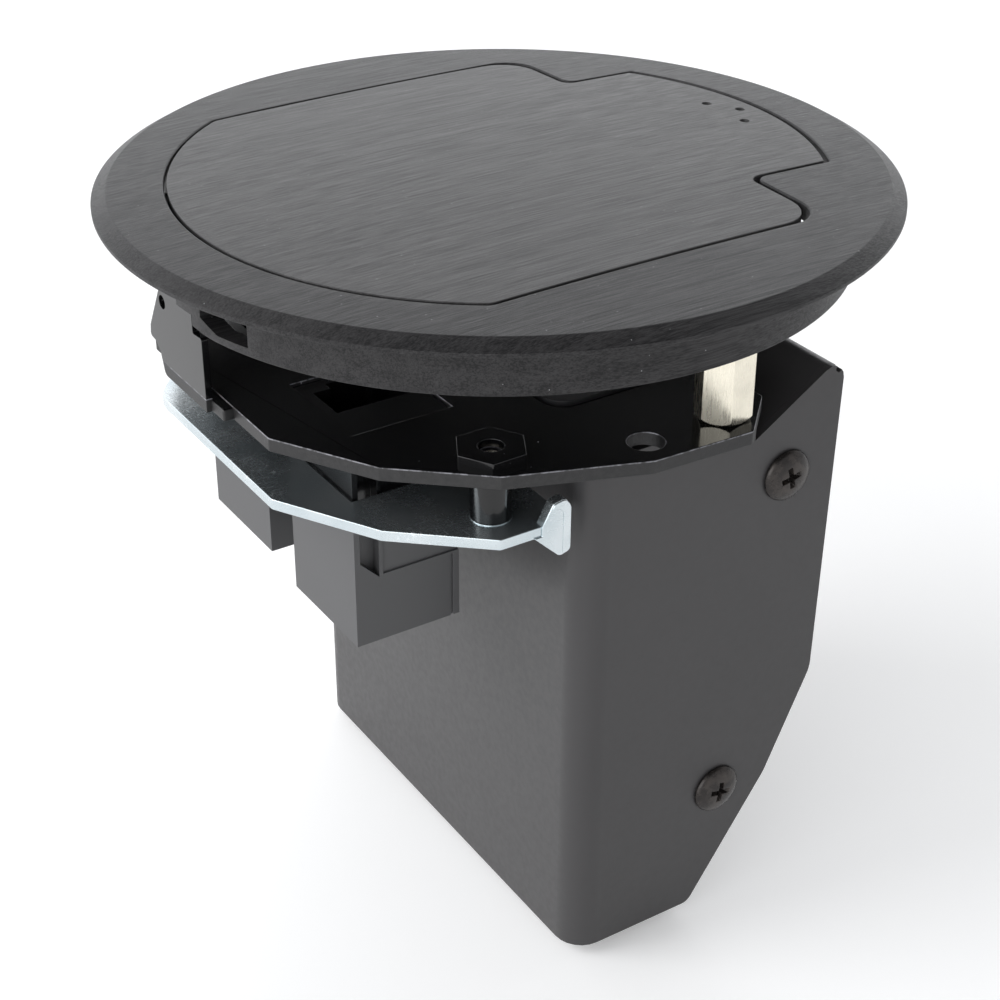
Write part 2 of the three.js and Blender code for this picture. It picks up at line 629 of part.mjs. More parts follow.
// Blade contact: a U-shaped clip down in its slot
function bladeContact(y, side) {
  const [x, length] = bladeAt[side];
  const z0 = OUTLET_TOP - SLOT_DEPTH + SEAT_GAP;
  const [h, l] = [BLADE_T / 2 - 0.1, length / 2 - 0.2];
  const top = z0 + 11.0;
  return block(OUTLET_X + x - h, OUTLET_X + x + h, bladeY(y) - l, bladeY(y) + l, z0, top).subtract(
    block(OUTLET_X + x - h + 0.35, OUTLET_X + x + h - 0.35, bladeY(y) - l - 1, bladeY(y) + l + 1, z0 + 1, top + 1),
  );
}

// Earth contact: a split tube
function earthContact(y) {
  const z0 = OUTLET_TOP - SLOT_DEPTH + SEAT_GAP;
  return rodZ(EARTH_R - 0.1, OUTLET_X, earthY(y), z0, z0 + 11, 24)
    .subtract(rodZ(EARTH_R - 0.5, OUTLET_X, earthY(y), z0 + 1, z0 + 12, 24))
    .subtract(block(OUTLET_X - 0.4, OUTLET_X + 0.4, earthY(y) - 4, earthY(y), z0 + 2, z0 + 12));
}

// The box's right-hand profile from its lip down the ramp's foot, up the ramp and down to the toe
const BOX_EDGE = [
  [LIP_X, BOX_TOP],
  [LIP_X, RAMP_LOW],
  [BOX_RIGHT, RAMP_HIGH],
  [KNEE_X, KNEE_Z],
  [HIP_X, HIP_Z],
  [TOE_X, BOX_BOTTOM],
  [BOX_LEFT + SHEET + FIT, BOX_BOTTOM],
];
const EDGE_R = [0, 0, CORNER_R, 6.0, 6.0, 2.0, 0];

// The profile moved towards the box's inside: each corner goes along its mitre and keeps its bend centre
function insetCorners(distance) {
  const p = BOX_EDGE.map(([x, z]) => new THREE.Vector2(x, z));
  const normals = [];
  for (let i = 0; i + 1 < p.length; i++) {
    const d = p[i + 1].clone().sub(p[i]).normalize();
    normals.push(new THREE.Vector2(d.y, -d.x));
  }
  return p.map((q, i) => {
    const a = normals[Math.max(i - 1, 0)];
    const b = normals[Math.min(i, normals.length - 1)];
    const m = a.clone().add(b).normalize();
    const moved = q.clone().addScaledVector(m, distance / m.dot(a));
    return [moved.x, moved.y, EDGE_R[i] ? Math.max(EDGE_R[i] - distance, 0.2) : 0];
  });
}

// The cover in plan: two straight sides joined by a bent left end, inset by a distance
const bent = (inset, x) =>
  outline(
    [
      [x, BOX_FRONT + inset, 0],
      [x, BOX_BACK - inset, 0],
      [BOX_LEFT + inset, BOX_BACK - inset, BEND_R - inset],
      [BOX_LEFT + inset, BOX_FRONT + inset, BEND_R - inset],
    ],
    6,
  );

// Body: lip, ramp, right wall, two slanted walls and floor as one bent sheet between the cover's faces,
// with a flange at the front and back for the screws
function boxBody() {
  const outer = insetCorners(0);
  const inner = insetCorners(SHEET).reverse();
  const front = BOX_FRONT + SHEET + FIT;
  const back = BOX_BACK - SHEET - FIT;
  let made = prismY(outline([...outer, ...inner]), front, back);
  made = made.intersect(prismZ(bent(SHEET + FIT, BOX_RIGHT + 10), BOX_BOTTOM - 1, 0));
  const deep = insetCorners(FLANGE_W);
  const flange = outline([
    ...outer.slice(2, 6),
    [...deep[5].slice(0, 2), 0],
    [...deep[4].slice(0, 2), 0],
    [...deep[3].slice(0, 2), 0],
    [deep[3][0], deep[2][1] + 6, 0],
  ]);
  made = made.add(prismY(flange, front, front + SHEET)).add(prismY(flange, back - SHEET, back));
  for (const [x, z] of Object.values(COVER_SCREWS)) {
    made = made.subtract(rodY(1.5, x, z, front - 1, front + SHEET + 1));
    made = made.subtract(rodY(1.5, x, z, back - SHEET - 1, back + 1));
  }
  return made.subtract(rodZ(BUSH_HOLE_R, BUSH_X, BUSH_Y, BOX_BOTTOM - 1, BOX_BOTTOM + SHEET + 1, 40));
}

// Cover: front, left and back in one bent sheet, its front and back faces cut to the body's outline
function boxCover() {
  const far = BOX_RIGHT + 30;
  const shell = prismZ(bent(0, far), BOX_BOTTOM - 1, 0).subtract(prismZ(bent(SHEET, far + 5), BOX_BOTTOM - 2, 1));
  const face = outline([
    [BOX_LEFT - 1, BOX_BOTTOM, 0],
    [BOX_LEFT - 1, BOX_TOP, 0],
    ...insetCorners(0).slice(0, 6),
  ]);
  let made = shell.intersect(prismY(face, BOX_FRONT - 1, BOX_BACK + 1));
  for (const [x, z] of Object.values(COVER_SCREWS)) {
    made = made.subtract(rodY(1.8, x, z, BOX_FRONT - 1, BOX_BACK + 1));
  }
  return made;
}

// Cover screw: domed head with a cross recess
function coverScrew(x, z, s) {
  const face = s > 0 ? BOX_BACK + SEAT_GAP : BOX_FRONT - SEAT_GAP;
  const height = 1.4;
  const dome = turned(
    [
      [0, 0],
      [COVER_SCREW_HEAD_R, 0],
      [COVER_SCREW_HEAD_R, 0.4],
      [COVER_SCREW_HEAD_R * 0.8, 0.95],
      [COVER_SCREW_HEAD_R * 0.45, 1.3],
      [0, height],
    ],
    28,
  );
  const bar = (w, d) => block(-w, w, -d, d, 0.4, height + 1);
  return dome
    .add(rodZ(1.35, 0, 0, -SHEET * 2 - FIT - 3, 0.5, 20))
    .subtract(bar(1.7, 0.4))
    .subtract(bar(0.4, 1.7))
    .rotate([s > 0 ? -90 : 90, 0, 0])
    .translate([x, face, z]);
}

// Snap-in bushing in the box's floor
function cordBushing() {
  const z0 = BOX_BOTTOM;
  return turned(
    [
      [BUSH_BORE_R, z0 - 1.8],
      [BUSH_FLANGE_R, z0 - 1.8],
      [BUSH_FLANGE_R, z0 - SEAT_GAP],
      [BUSH_HOLE_R - 0.2, z0 - SEAT_GAP],
      [BUSH_HOLE_R - 0.2, z0 + SHEET + SEAT_GAP],
      [BUSH_HOLE_R + 0.5, z0 + SHEET + 0.4],
      [BUSH_HOLE_R - 0.4, z0 + 5.5],
      [BUSH_BORE_R, z0 + 5.5],
    ],
    40,
  ).translate([BUSH_X, BUSH_Y, 0]);
}

// Earth screw inside the box, standing on its floor
function earthScrew() {
  const [x, y] = [-4.0, 18.0];
  const z = BOX_BOTTOM + SHEET + SEAT_GAP;
  return rodZ(3.4, x, y, z, z + 1.0, 6).add(rodZ(1.9, x, y, z, z + 6.0, 20));
}

const FINISH = {
  anodised: { color: 0x25262a, roughness: 0.42, metalness: 0.9 },
  steel_pin: { color: 0xb4b4b0, roughness: 0.3, metalness: 1 },
  rubber: { color: 0x161616, roughness: 0.9, metalness: 0 },
  nickel: { color: 0xcfc9b4, roughness: 0.3, metalness: 1 },
  plastic: { color: 0x17171a, roughness: 0.45, metalness: 0 },
  zinc: { color: 0xb4bcc2, roughness: 0.35, metalness: 1 },
  jack: { color: 0x1c1c1f, roughness: 0.6, metalness: 0 },
  gold: { color: 0xd9b25a, roughness: 0.25, metalness: 1 },
  brass: { color: 0xc9a45a, roughness: 0.35, metalness: 1 },
  powder: { color: 0x3d3d3f, roughness: 0.65, metalness: 0.2 },
  black_steel: { color: 0x1e1e20, roughness: 0.35, metalness: 0.8 },
  nylon: { color: 0x202020, roughness: 0.55, metalness: 0 },
};

const root = new THREE.Group();
root.name = "desk_grommet";

function place(parent, name, made, finish) {
  const mesh = new THREE.Mesh(geometryOf(made), new THREE.MeshStandardMaterial(FINISH[finish]));
  mesh.name = name;
  parent.add(mesh);
}

function group(name) {
  const g = new THREE.Group();
  g.name = name;
  root.add(g);
  return g;
}

const top = group("top_group");
place(top, "bezel_ring", bezelRing(), "anodised");
place(top, "lid", lidPlate(), "anodised");
const device = group("device_group");
place(device, "device_plate", devicePlate(), "plastic");
place(device, "bracket_plate", bracketPlate(), "zinc");
const box = group("wiring_box_group");
place(box, "box_cover", boxCover(), "powder");
place(box, "box_body", boxBody(), "powder");
place(box, "cord_bushing", cordBushing(), "nylon");
place(box, "earth_screw", earthScrew(), "brass");

for (const [where, s] of Object.entries(SIDES)) {
  place(top, "hinge_pin_" + where, hingePin(s), "steel_pin");
  place(top, "lid_bumper_" + where, lidBumper(s), "rubber");
  place(top, "standoff_" + where, standoff(s), "nickel");
  place(device, "bracket_screw_" + where, bracketScrew(s), "nickel");
  place(device, "jack_housing_" + where, jackHousing(where, s), "jack");
  place(device, "jack_cap_" + where, jackCap(where, s), "jack");
  place(device, "jack_contacts_" + where, jackContacts(where, s), "gold");
  const y = OUTLET_YS[where];
  place(device, "outlet_" + where, outletBody(y), "plastic");
  place(device, "outlet_live_" + where, bladeContact(y, "live"), "brass");
  place(device, "outlet_neutral_" + where, bladeContact(y, "neutral"), "brass");
  place(device, "outlet_earth_" + where, earthContact(y), "brass");
  for (const [level, [x, z]] of Object.entries(COVER_SCREWS)) {
    place(box, "cover_screw_" + where + "_" + level, coverScrew(x, z, s), "black_steel");
  }
}

export default root;
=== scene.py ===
"""Desk grommet with a tilting lid: finished meshes, materials, light and camera."""
import math

import bmesh
import bpy
from mathutils import Matrix, Vector


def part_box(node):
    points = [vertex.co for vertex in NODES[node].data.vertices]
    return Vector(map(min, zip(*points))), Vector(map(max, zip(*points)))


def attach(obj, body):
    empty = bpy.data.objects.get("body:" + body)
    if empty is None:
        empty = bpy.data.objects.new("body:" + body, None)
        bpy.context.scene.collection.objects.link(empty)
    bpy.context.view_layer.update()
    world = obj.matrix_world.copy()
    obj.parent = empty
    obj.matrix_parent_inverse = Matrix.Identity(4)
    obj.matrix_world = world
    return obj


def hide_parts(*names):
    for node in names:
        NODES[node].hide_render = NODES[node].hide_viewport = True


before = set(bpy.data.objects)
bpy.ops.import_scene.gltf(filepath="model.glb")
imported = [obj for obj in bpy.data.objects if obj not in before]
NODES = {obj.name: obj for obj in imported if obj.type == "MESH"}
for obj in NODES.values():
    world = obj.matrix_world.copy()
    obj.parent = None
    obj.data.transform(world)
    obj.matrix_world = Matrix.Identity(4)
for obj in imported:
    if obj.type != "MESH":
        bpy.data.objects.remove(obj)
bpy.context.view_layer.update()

MM = 0.001
SIDES = {"front": -1, "back": 1}

# Sizes in millimetres, as the CAD model has them
FLANGE_R, FLANGE_T, BEVEL_RUN, BEVEL_DROP = 57.15, 1.9, 2.15, 1.25
COLLAR_R, COLLAR_IN, COLLAR_H, CROWN = 51.0, 48.4, 8.3, 1.2
LID_R, LID_END_R, LID_HALF_W, LID_Z0 = 46.55, 46.45, 38.75, 0.2
LID_SHOULDERS = {"front": 26.15, "back": 27.8}
LID_CORNER_R, TONGUE_HALF_W = 5.8, 23.5
GAP_SIDE, GAP_SHOULDER, GAP_END = 0.4, 0.8, 0.75
PIN_X, PIN_Z, PIN_HOLE_R = 32.5, 0.45, 0.88
DIMPLES = ((40.9, -4.6), (40.9, 4.6), (43.7, 0.0))
LEDGE_R, LEDGE_Z0, LEDGE_Z1 = 44.2, -2.4, -1.0


# The camera: azimuth, elevation and roll in degrees, place in metres
VIEW_ANGLES = (-31.365, 30.286, -0.478)
VIEW_PLACE = (-0.14173, -0.22069, 0.10142)
VIEW_LENS, VIEW_SHIFT = 70.23, (0.0433, -0.0053)

# Shared by the plate, the bracket and the end wall
FACET_R, CORNER_SOFT = 50.2, 0.8
POST_R, POST_BORE_R, BRACKET_BORE_R = 2.8, 1.75, 1.65
WALL_OUT, WALL_IN, WALL_TOP = -48.9, -47.9, -3.4
NOTCH_TOP, NOTCH_SIDE, NOTCH_STEP, NOTCH_DEEP = -3.15, -1.3, -6.2, -42.5
STANDOFF_AF, STANDOFF_TURN, STANDOFF_BOTTOM, STUD_R = 7.0, 7, -19.8, 1.9

COVER_FACES = {-1: -42.95, 1: 34.25}
SCREW_TURNS = {"upper": 12, "lower": -9}
PLATE_SLOT_HALF, BRACKET_SLOT_HALF = 7.75, 8.55
FLOOR_Z = -0.1081

# ---------------------------------------------------------------- camera
def make_camera():
    az, el, roll = (math.radians(a) for a in VIEW_ANGLES)
    back = Vector((math.sin(az) * math.cos(el), -math.cos(az) * math.cos(el), math.sin(el)))
    right = Vector((math.cos(az), math.sin(az), 0))
    up = back.cross(right)
    r2 = right * math.cos(roll) + up * math.sin(roll)
    u2 = up * math.cos(roll) - right * math.sin(roll)
    data = bpy.data.cameras.new("view")
    data.sensor_width = 36.0
    data.lens = VIEW_LENS
    data.shift_x, data.shift_y = VIEW_SHIFT
    data.clip_start = 0.01
    camera = bpy.data.objects.new("view", data)
    rows = [[r2[i], u2[i], back[i], VIEW_PLACE[i]] for i in range(3)]
    camera.matrix_world = Matrix(rows + [[0, 0, 0, 1]])
    bpy.context.collection.objects.link(camera)
    bpy.context.scene.camera = camera


# ---------------------------------------------------------------- materials
class Mat:
    """A small helper for building one node material."""

    def __init__(self, name, color, rough, metal=0.0, **sockets):
        self.mat = bpy.data.materials.new(name)
        self.mat.use_nodes = True
        self.tree = self.mat.node_tree
        self.bsdf = self.tree.nodes["Principled BSDF"]
        self.bsdf.inputs["Base Color"].default_value = (*color, 1)
        self.bsdf.inputs["Roughness"].default_value = rough
        self.bsdf.inputs["Metallic"].default_value = metal
        for key, value in sockets.items():
            self.bsdf.inputs[key.replace("_", " ")].default_value = value
        coords = self.tree.nodes.new("ShaderNodeTexCoord")
        self.coord = coords.outputs["Object"]

    def node(self, kind, **values):
        n = self.tree.nodes.new(kind)
        for key, value in values.items():
            setattr(n, key, value)
        return n

    def link(self, a, b):
        self.tree.links.new(a, b)

    def noise(self, scale, detail=3.0, rough=0.5, offset=(0, 0, 0)):
        """Noise whose scale is in cycles per millimetre along X, Y and Z."""
        m = self.node("ShaderNodeMapping")
        m.inputs["Scale"].default_value = [s * 1000 for s in scale]
        m.inputs["Location"].default_value = offset
        self.link(self.coord, m.inputs["Vector"])
        n = self.node("ShaderNodeTexNoise")
        n.inputs["Scale"].default_value = 1.0
        n.inputs["Detail"].default_value = detail
        n.inputs["Roughness"].default_value = rough
        self.link(m.outputs["Vector"], n.inputs["Vector"])
        return n.outputs["Fac"]

    def span(self, value, lo, hi, out_lo, out_hi):
        n = self.node("ShaderNodeMapRange")
        n.inputs["From Min"].default_value = lo
        n.inputs["From Max"].default_value = hi
        n.inputs["To Min"].default_value = out_lo
        n.inputs["To Max"].default_value = out_hi
        self.link(value, n.inputs["Value"])
        return n.outputs["Result"]

    def math(self, op, a, b=None):
        n = self.node("ShaderNodeMath", operation=op)
        for i, v in enumerate((a, b)):
            if v is None:
                continue
            if isinstance(v, (int, float)):
                n.inputs[i].default_value = v
            else:
                self.link(v, n.inputs[i])
        return n.outputs[0]

    def mix(self, fac, a, b):
        n = self.node("ShaderNodeMix", data_type="RGBA")
        self.link(fac, n.inputs["Factor"])
        for socket, v in ((n.inputs[6], a), (n.inputs[7], b)):
            if isinstance(v, tuple):
                socket.default_value = (*v, 1)
            else:
                self.link(v, socket)
        return n.outputs[2]

    def color(self, socket):
        self.link(socket, self.bsdf.inputs["Base Color"])

    def rough(self, socket):
        self.link(socket, self.bsdf.inputs["Roughness"])

    def bump(self, height, strength, distance=0.0001):
        n = self.node("ShaderNodeBump")
        n.inputs["Strength"].default_value = strength
        n.inputs["Distance"].default_value = distance
        self.link(height, n.inputs["Height"])
        before = self.bsdf.inputs["Normal"].links
        if before:
            self.link(before[0].from_socket, n.inputs["Normal"])
        self.link(n.outputs["Normal"], self.bsdf.inputs["Normal"])

    def axis(self, index):
        n = self.node("ShaderNodeSeparateXYZ")
        self.link(self.coord, n.inputs[0])
        return n.outputs[index]

    def radius(self):
        """Distance from the Z axis, in millimetres."""
        n = self.node("ShaderNodeSeparateXYZ")
        self.link(self.coord, n.inputs[0])
        x, y = n.outputs[0], n.outputs[1]
        sq = self.math("ADD", self.math("MULTIPLY", x, x), self.math("MULTIPLY", y, y))
        return self.math("MULTIPLY", self.math("SQRT", sq), 1000.0)

    def specks(self, cells, size, share):
        """Scattered dust: small spots in a share of the cells, cells per millimetre."""
        v = self.node("ShaderNodeTexVoronoi")
        v.inputs["Scale"].default_value = cells * 1000
        self.link(self.coord, v.inputs["Vector"])
        near = self.span(v.outputs["Distance"], size, size * 0.5, 0.0, 1.0)
        tone = self.node("ShaderNodeSeparateColor")
        self.link(v.outputs["Color"], tone.inputs[0])
        return self.math("MULTIPLY", near, self.math("LESS_THAN", tone.outputs[0], share))


def brushed(name, low, high, rough, shine):
    """Brushed anodising: fine short strokes along X over longer faint bands, with a little dust."""
    m = Mat(name, low, rough, 0.0, Specular_IOR_Level=shine)
    fine = m.noise((0.11, 7.5, 7.5), 4.0, 0.65)
    stroke = m.noise((0.04, 3.0, 3.0), 3.0, 0.6, (1.3, 4.1, 2.2))
    broad = m.noise((0.012, 0.5, 0.5), 3.0, 0.55, (3.1, 7.7, 0.4))
    streak = m.math("ADD", m.math("MULTIPLY", fine, 0.5), m.math("MULTIPLY", stroke, 0.3))
    streak = m.math("ADD", streak, m.math("MULTIPLY", broad, 0.2))
    tone = m.mix(m.span(streak, 0.43, 0.57, 0.0, 1.0), low, high)
    tone = m.mix(m.specks(1.0, 0.09, 0.12), tone, (0.30, 0.30, 0.31))
    m.color(m.mix(m.specks(1.3, 0.06, 0.03), tone, (0.42, 0.42, 0.43)))
    m.rough(m.span(fine, 0.3, 0.7, rough + 0.09, rough - 0.09))
    m.bump(fine, 0.75, 0.00004)
    m.bump(stroke, 0.35, 0.00004)
    return m.mat


def bezel_edge():
    """Turned bevel and rim: near black, with turning marks and pale nicks on its lower edges."""
    black = (0.0022, 0.0022, 0.003)
    m = Mat("bezel_edge", black, 0.26, 0.0, Specular_IOR_Level=0.07)
    turn = m.noise((0.4, 0.4, 6.0), 3.0, 0.6)
    m.rough(m.span(turn, 0.3, 0.7, 0.22, 0.30))
    m.bump(turn, 0.08, 0.00003)
    z = m.math("MULTIPLY", m.axis(2), 1000.0)

    def near_z(at, half):
        return m.math("LESS_THAN", m.math("ABSOLUTE", m.math("SUBTRACT", z, at)), half)

    edge = m.math("MAXIMUM", near_z(0.62, 0.10), near_z(0.08, 0.14))
    clumps = m.span(m.noise((0.12, 0.12, 0.12), 2.0, 0.5, (5.0, 2.0, 8.0)), 0.45, 0.6, 0.0, 1.0)
    nick = m.math("MULTIPLY", m.math("MULTIPLY", m.specks(1.7, 0.34, 0.42), edge), clumps)
    line = m.math("MULTIPLY", near_z(0.62, 0.05), m.span(clumps, 0.0, 1.0, 0.05, 0.35))
    tone = m.mix(line, black, (0.16, 0.16, 0.18))
    tone = m.mix(m.math("MAXIMUM", nick, m.specks(1.1, 0.10, 0.3)), tone, (0.5, 0.5, 0.52))
    m.color(tone)
    return m.mat


def satin(name, color, rough, grain=0.12, specular=0.5, dust=0.0):
    m = Mat(name, color, rough, 0.0, Specular_IOR_Level=specular)
    fine = m.noise((3.2, 3.2, 3.2), 3.0, 0.6)
    cloud = m.noise((0.09, 0.09, 0.09), 3.0, 0.5)
    lighter = tuple(c * 1.22 + 0.001 for c in color)
    tone = m.mix(m.span(cloud, 0.3, 0.7, 0.0, 1.0), color, lighter)
    if dust:
        tone = m.mix(m.specks(1.0, 0.09, dust), tone, (0.35, 0.35, 0.36))
    m.color(tone)
    m.rough(m.span(cloud, 0.3, 0.7, rough - 0.05, rough + 0.05))
    m.bump(fine, grain, 0.00005)
    return m.mat


def powder(name, color, rough):
    """Powder coat: a low orange peel under a fine texture."""
    m = Mat(name, color, rough, 0.0, Specular_IOR_Level=0.42)
    peel = m.noise((0.9, 0.9, 0.9), 2.0, 0.5)
    fine = m.noise((5.0, 5.0, 5.0), 2.0, 0.5)
    cloud = m.noise((0.03, 0.03, 0.03), 2.0, 0.5)
    m.color(m.mix(m.span(cloud, 0.3, 0.7, 0.0, 1.0), color, tuple(c * 1.10 for c in color)))
    m.rough(m.span(peel, 0.3, 0.7, rough - 0.04, rough + 0.05))
    m.bump(peel, 0.16, 0.00006)
    m.bump(fine, 0.10, 0.00002)
    return m.mat


def plate_plastic():
    """Glossy moulding; the plate's edge is rougher and paler, pitted, with a painted highlight
    along its top arris.
    """
    black = (0.0026, 0.0026, 0.003)
    m = Mat("plate_plastic", black, 0.14, 0.0)
    geometry = m.node("ShaderNodeNewGeometry")
    parts = m.node("ShaderNodeSeparateXYZ")
    m.link(geometry.outputs["Normal"], parts.inputs[0])
    z = m.math("MULTIPLY", m.axis(2), 1000.0)
    edge = m.math(
        "MULTIPLY", m.math("GREATER_THAN", z, PLATE_BOTTOM - 0.01),
        m.math("LESS_THAN", z, PLATE_TOP - 0.01)
    )
    side = m.math(
        "MULTIPLY", edge, m.span(m.math("ABSOLUTE", parts.outputs[2]), 0.55, 0.85, 1.0, 0.0)
    )
    fine = m.noise((4.0, 4.0, 4.0), 3.0, 0.65)
    grit = m.noise((1.4, 1.4, 1.4), 3.0, 0.6)
    pale = m.mix(m.span(grit, 0.35, 0.65, 0.0, 1.0), (0.004, 0.004, 0.0045), (0.013, 0.0125, 0.013))
    tone = m.mix(side, black, pale)
    # Painted highlight: a pale band along the plate's top arris, broken up by noise.
    arris = m.math("LESS_THAN", m.math("ABSOLUTE", m.math("SUBTRACT", z, PLATE_TOP - 0.10)), 0.08)
    arris_highlight = m.math(
        "MULTIPLY", arris, m.span(m.noise((0.7, 0.7, 0.7), 3.0, 0.7), 0.42, 0.58, 0.15, 1.0)
    )
    tone = m.mix(arris_highlight, tone, (0.20, 0.20, 0.22))
    m.color(m.mix(m.specks(0.45, 0.06, 0.12), tone, (0.30, 0.30, 0.33)))
    m.rough(m.math("ADD", m.math("MULTIPLY", side, 0.32), m.span(grit, 0.3, 0.7, 0.12, 0.19)))
    m.bump(m.math("MULTIPLY", fine, side), 0.7, 0.00007)
    m.bump(grit, 0.04, 0.00004)
    return m.mat


def jack_plastic():
    """Matt dark grey block whose neck, between the plates and above, is glossy black."""
    grey, black = (0.056, 0.056, 0.058), (0.003, 0.003, 0.0035)
    m = Mat("jack_plastic", grey, 0.5, 0.0)
    z = m.math("MULTIPLY", m.axis(2), 1000.0)
    neck = m.span(z, -31.2, -30.6, 0.0, 1.0)
    fine = m.noise((3.2, 3.2, 3.2), 3.0, 0.6)
    cloud = m.noise((0.09, 0.09, 0.09), 3.0, 0.5)
    tone = m.mix(m.span(cloud, 0.3, 0.7, 0.0, 1.0), grey, (0.054, 0.054, 0.056))
    tone = m.mix(neck, tone, black)
    m.color(m.mix(m.specks(0.5, 0.06, 0.06), tone, (0.30, 0.30, 0.32)))
    m.rough(m.span(neck, 0.0, 1.0, 0.46, 0.2))
    m.bump(fine, 0.16, 0.00005)
    return m.mat


def zinc():
    """Bright zinc plate: bluish, faintly cloudy, with clusters of scratches and bright marks."""
    m = Mat("zinc", (0.55, 0.60, 0.63), 0.26, 0.92)
    cloud = m.noise((0.10, 0.10, 0.10), 3.0, 0.5)
    patch = m.noise((1.1, 1.1, 1.1), 4.0, 0.7, (2.0, 5.0, 1.0))
    scratch = m.noise((0.35, 5.0, 5.0), 2.0, 0.5)
    cross = m.noise((4.0, 0.5, 4.0), 2.0, 0.5, (9.0, 1.0, 4.0))
    where = m.span(m.noise((0.07, 0.07, 0.07), 2.0, 0.5, (7.0, 3.0, 5.0)), 0.46, 0.60, 0.0, 1.0)
    tone = m.mix(m.span(cloud, 0.32, 0.68, 0.0, 1.0), (0.50, 0.57, 0.60), (0.66, 0.71, 0.73))
    marks = m.math("MULTIPLY", m.span(patch, 0.60, 0.70, 0.0, 1.0), where)
    m.color(m.mix(marks, tone, (0.86, 0.90, 0.92)))
    lines = m.math(
        "MAXIMUM", m.span(scratch, 0.58, 0.70, 0.0, 1.0), m.span(cross, 0.60, 0.72, 0.0, 1.0)
    )
    lines = m.math("MULTIPLY", lines, where)
    m.rough(
        m.math(
            "ADD", m.span(patch, 0.3, 0.7, 0.22, 0.27),
            m.math("MULTIPLY", m.math("MAXIMUM", lines, marks), 0.22)
        )
    )
    m.bump(m.math("MULTIPLY", scratch, where), 0.35, 0.00004)
    m.bump(m.math("MULTIPLY", cross, where), 0.30, 0.00004)
    m.bump(cloud, 0.05, 0.0003)
    return m.mat


def black_screw():
    """Black-plated steel, rubbed through in soft patches to a brownish grey."""
    m = Mat("black_screw", (0.012, 0.012, 0.013), 0.26, 0.55)
    fine = m.noise((2.5, 2.5, 2.5), 3.0, 0.6)
    rub = m.noise((0.5, 0.5, 0.5), 3.0, 0.6)
    m.color(m.mix(m.span(rub, 0.4, 0.62, 0.0, 1.0), (0.024, 0.021, 0.020), (0.050, 0.043, 0.039)))
    m.rough(m.span(rub, 0.3, 0.7, 0.2, 0.36))
    m.bump(fine, 0.2, 0.00004)
    return m.mat


def metal(name, color, rough, grain, along=(0.5, 0.5, 5.0)):
    m = Mat(name, color, rough, 1.0)
    lines = m.noise(along, 3.0, 0.6)
    cloud = m.noise((0.3, 0.3, 0.3), 3.0, 0.5)
    m.color(m.mix(m.span(cloud, 0.3, 0.7, 0.0, 1.0), tuple(c * 0.84 for c in color), color))
    m.rough(m.span(lines, 0.3, 0.7, rough - 0.06, rough + 0.08))
    m.bump(lines, grain, 0.00003)
    return m.mat


def make_materials():
    return {
        "lid": brushed("lid_brushed", (0.016, 0.0155, 0.016), (0.052, 0.0505, 0.051), 0.43, 0.36),
        "flange": brushed(
            "bezel_brushed", (0.006, 0.0058, 0.0064), (0.031, 0.030, 0.031), 0.42, 0.26
        ),
        "edge": bezel_edge(),
        "collar": satin("collar_satin", (0.0032, 0.0032, 0.0046), 0.4, 0.06, 0.05, 0.14),
        "wall": satin("end_wall", (0.024, 0.024, 0.025), 0.42, 0.14),
        "plate": plate_plastic(),
        "jack": jack_plastic(),
        "dark": satin("dark_plastic", (0.010, 0.010, 0.011), 0.38, 0.10),
        "zinc": zinc(),
        "nickel": metal("nickel", (0.88, 0.83, 0.70), 0.27, 0.35, (3.5, 3.5, 0.35)),
        "pin": metal("steel_pin", (0.55, 0.55, 0.55), 0.25, 0.1, (4.0, 0.3, 4.0)),
        "powder": powder("powder_coat", (0.037, 0.0355, 0.0365), 0.40),
        "screw": black_screw(),
        "brass": metal("brass", (0.72, 0.52, 0.24), 0.28, 0.15, (0.6, 0.6, 4.0)),
        "gold": metal("gold", (0.86, 0.64, 0.28), 0.2, 0.05),
        "rubber": satin("rubber", (0.012, 0.012, 0.012), 0.75, 0.35),
        "nylon": satin("nylon", (0.016, 0.016, 0.017), 0.45, 0.12),
    }


# ---------------------------------------------------------------- mesh helpers
def object_from(name, bm, mats, body, replaced=(), angle=35.0):
    """Finish a bmesh in millimetres into a piece that rides on a body."""
    bmesh.ops.scale(bm, vec=(MM, MM, MM), verts=bm.verts)
    bmesh.ops.recalc_face_normals(bm, faces=bm.faces)
    me = bpy.data.meshes.new(name)
    bm.to_mesh(me)
    bm.free()
    return object_of(name, me, mats, body, replaced, angle)


def object_of(name, me, mats, body, replaced=(), angle=35.0):
    # Clearing the slots puts every face back in slot 0, so a piece shows its first material.
    me.materials.clear()
    for m in mats:
        me.materials.append(m)
    me.shade_smooth()
    me.set_sharp_from_angle(angle=math.radians(angle))
    piece = bpy.data.objects.new(name, me)
    bpy.context.collection.objects.link(piece)
    flat = piece.modifiers.new("flat", "WEIGHTED_NORMAL")
    flat.keep_sharp = True
    flat.weight = 80
    evaluated(piece)
    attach(piece, body)
    if replaced:
        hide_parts(*replaced)
    return piece


def evaluated(obj):
    """Apply an object's modifiers and return the resulting mesh."""
    graph = bpy.context.evaluated_depsgraph_get()
    me = bpy.data.meshes.new_from_object(obj.evaluated_get(graph))
    old = obj.data
    obj.modifiers.clear()
    obj.data = me
    if old.users == 0:
        bpy.data.meshes.remove(old)
    return me


def scratch(name, bm):
    me = bpy.data.meshes.new(name)
    bmesh.ops.recalc_face_normals(bm, faces=bm.faces)
    bm.to_mesh(me)
    bm.free()
    obj = bpy.data.objects.new(name, me)
    bpy.context.collection.objects.link(obj)
    return obj


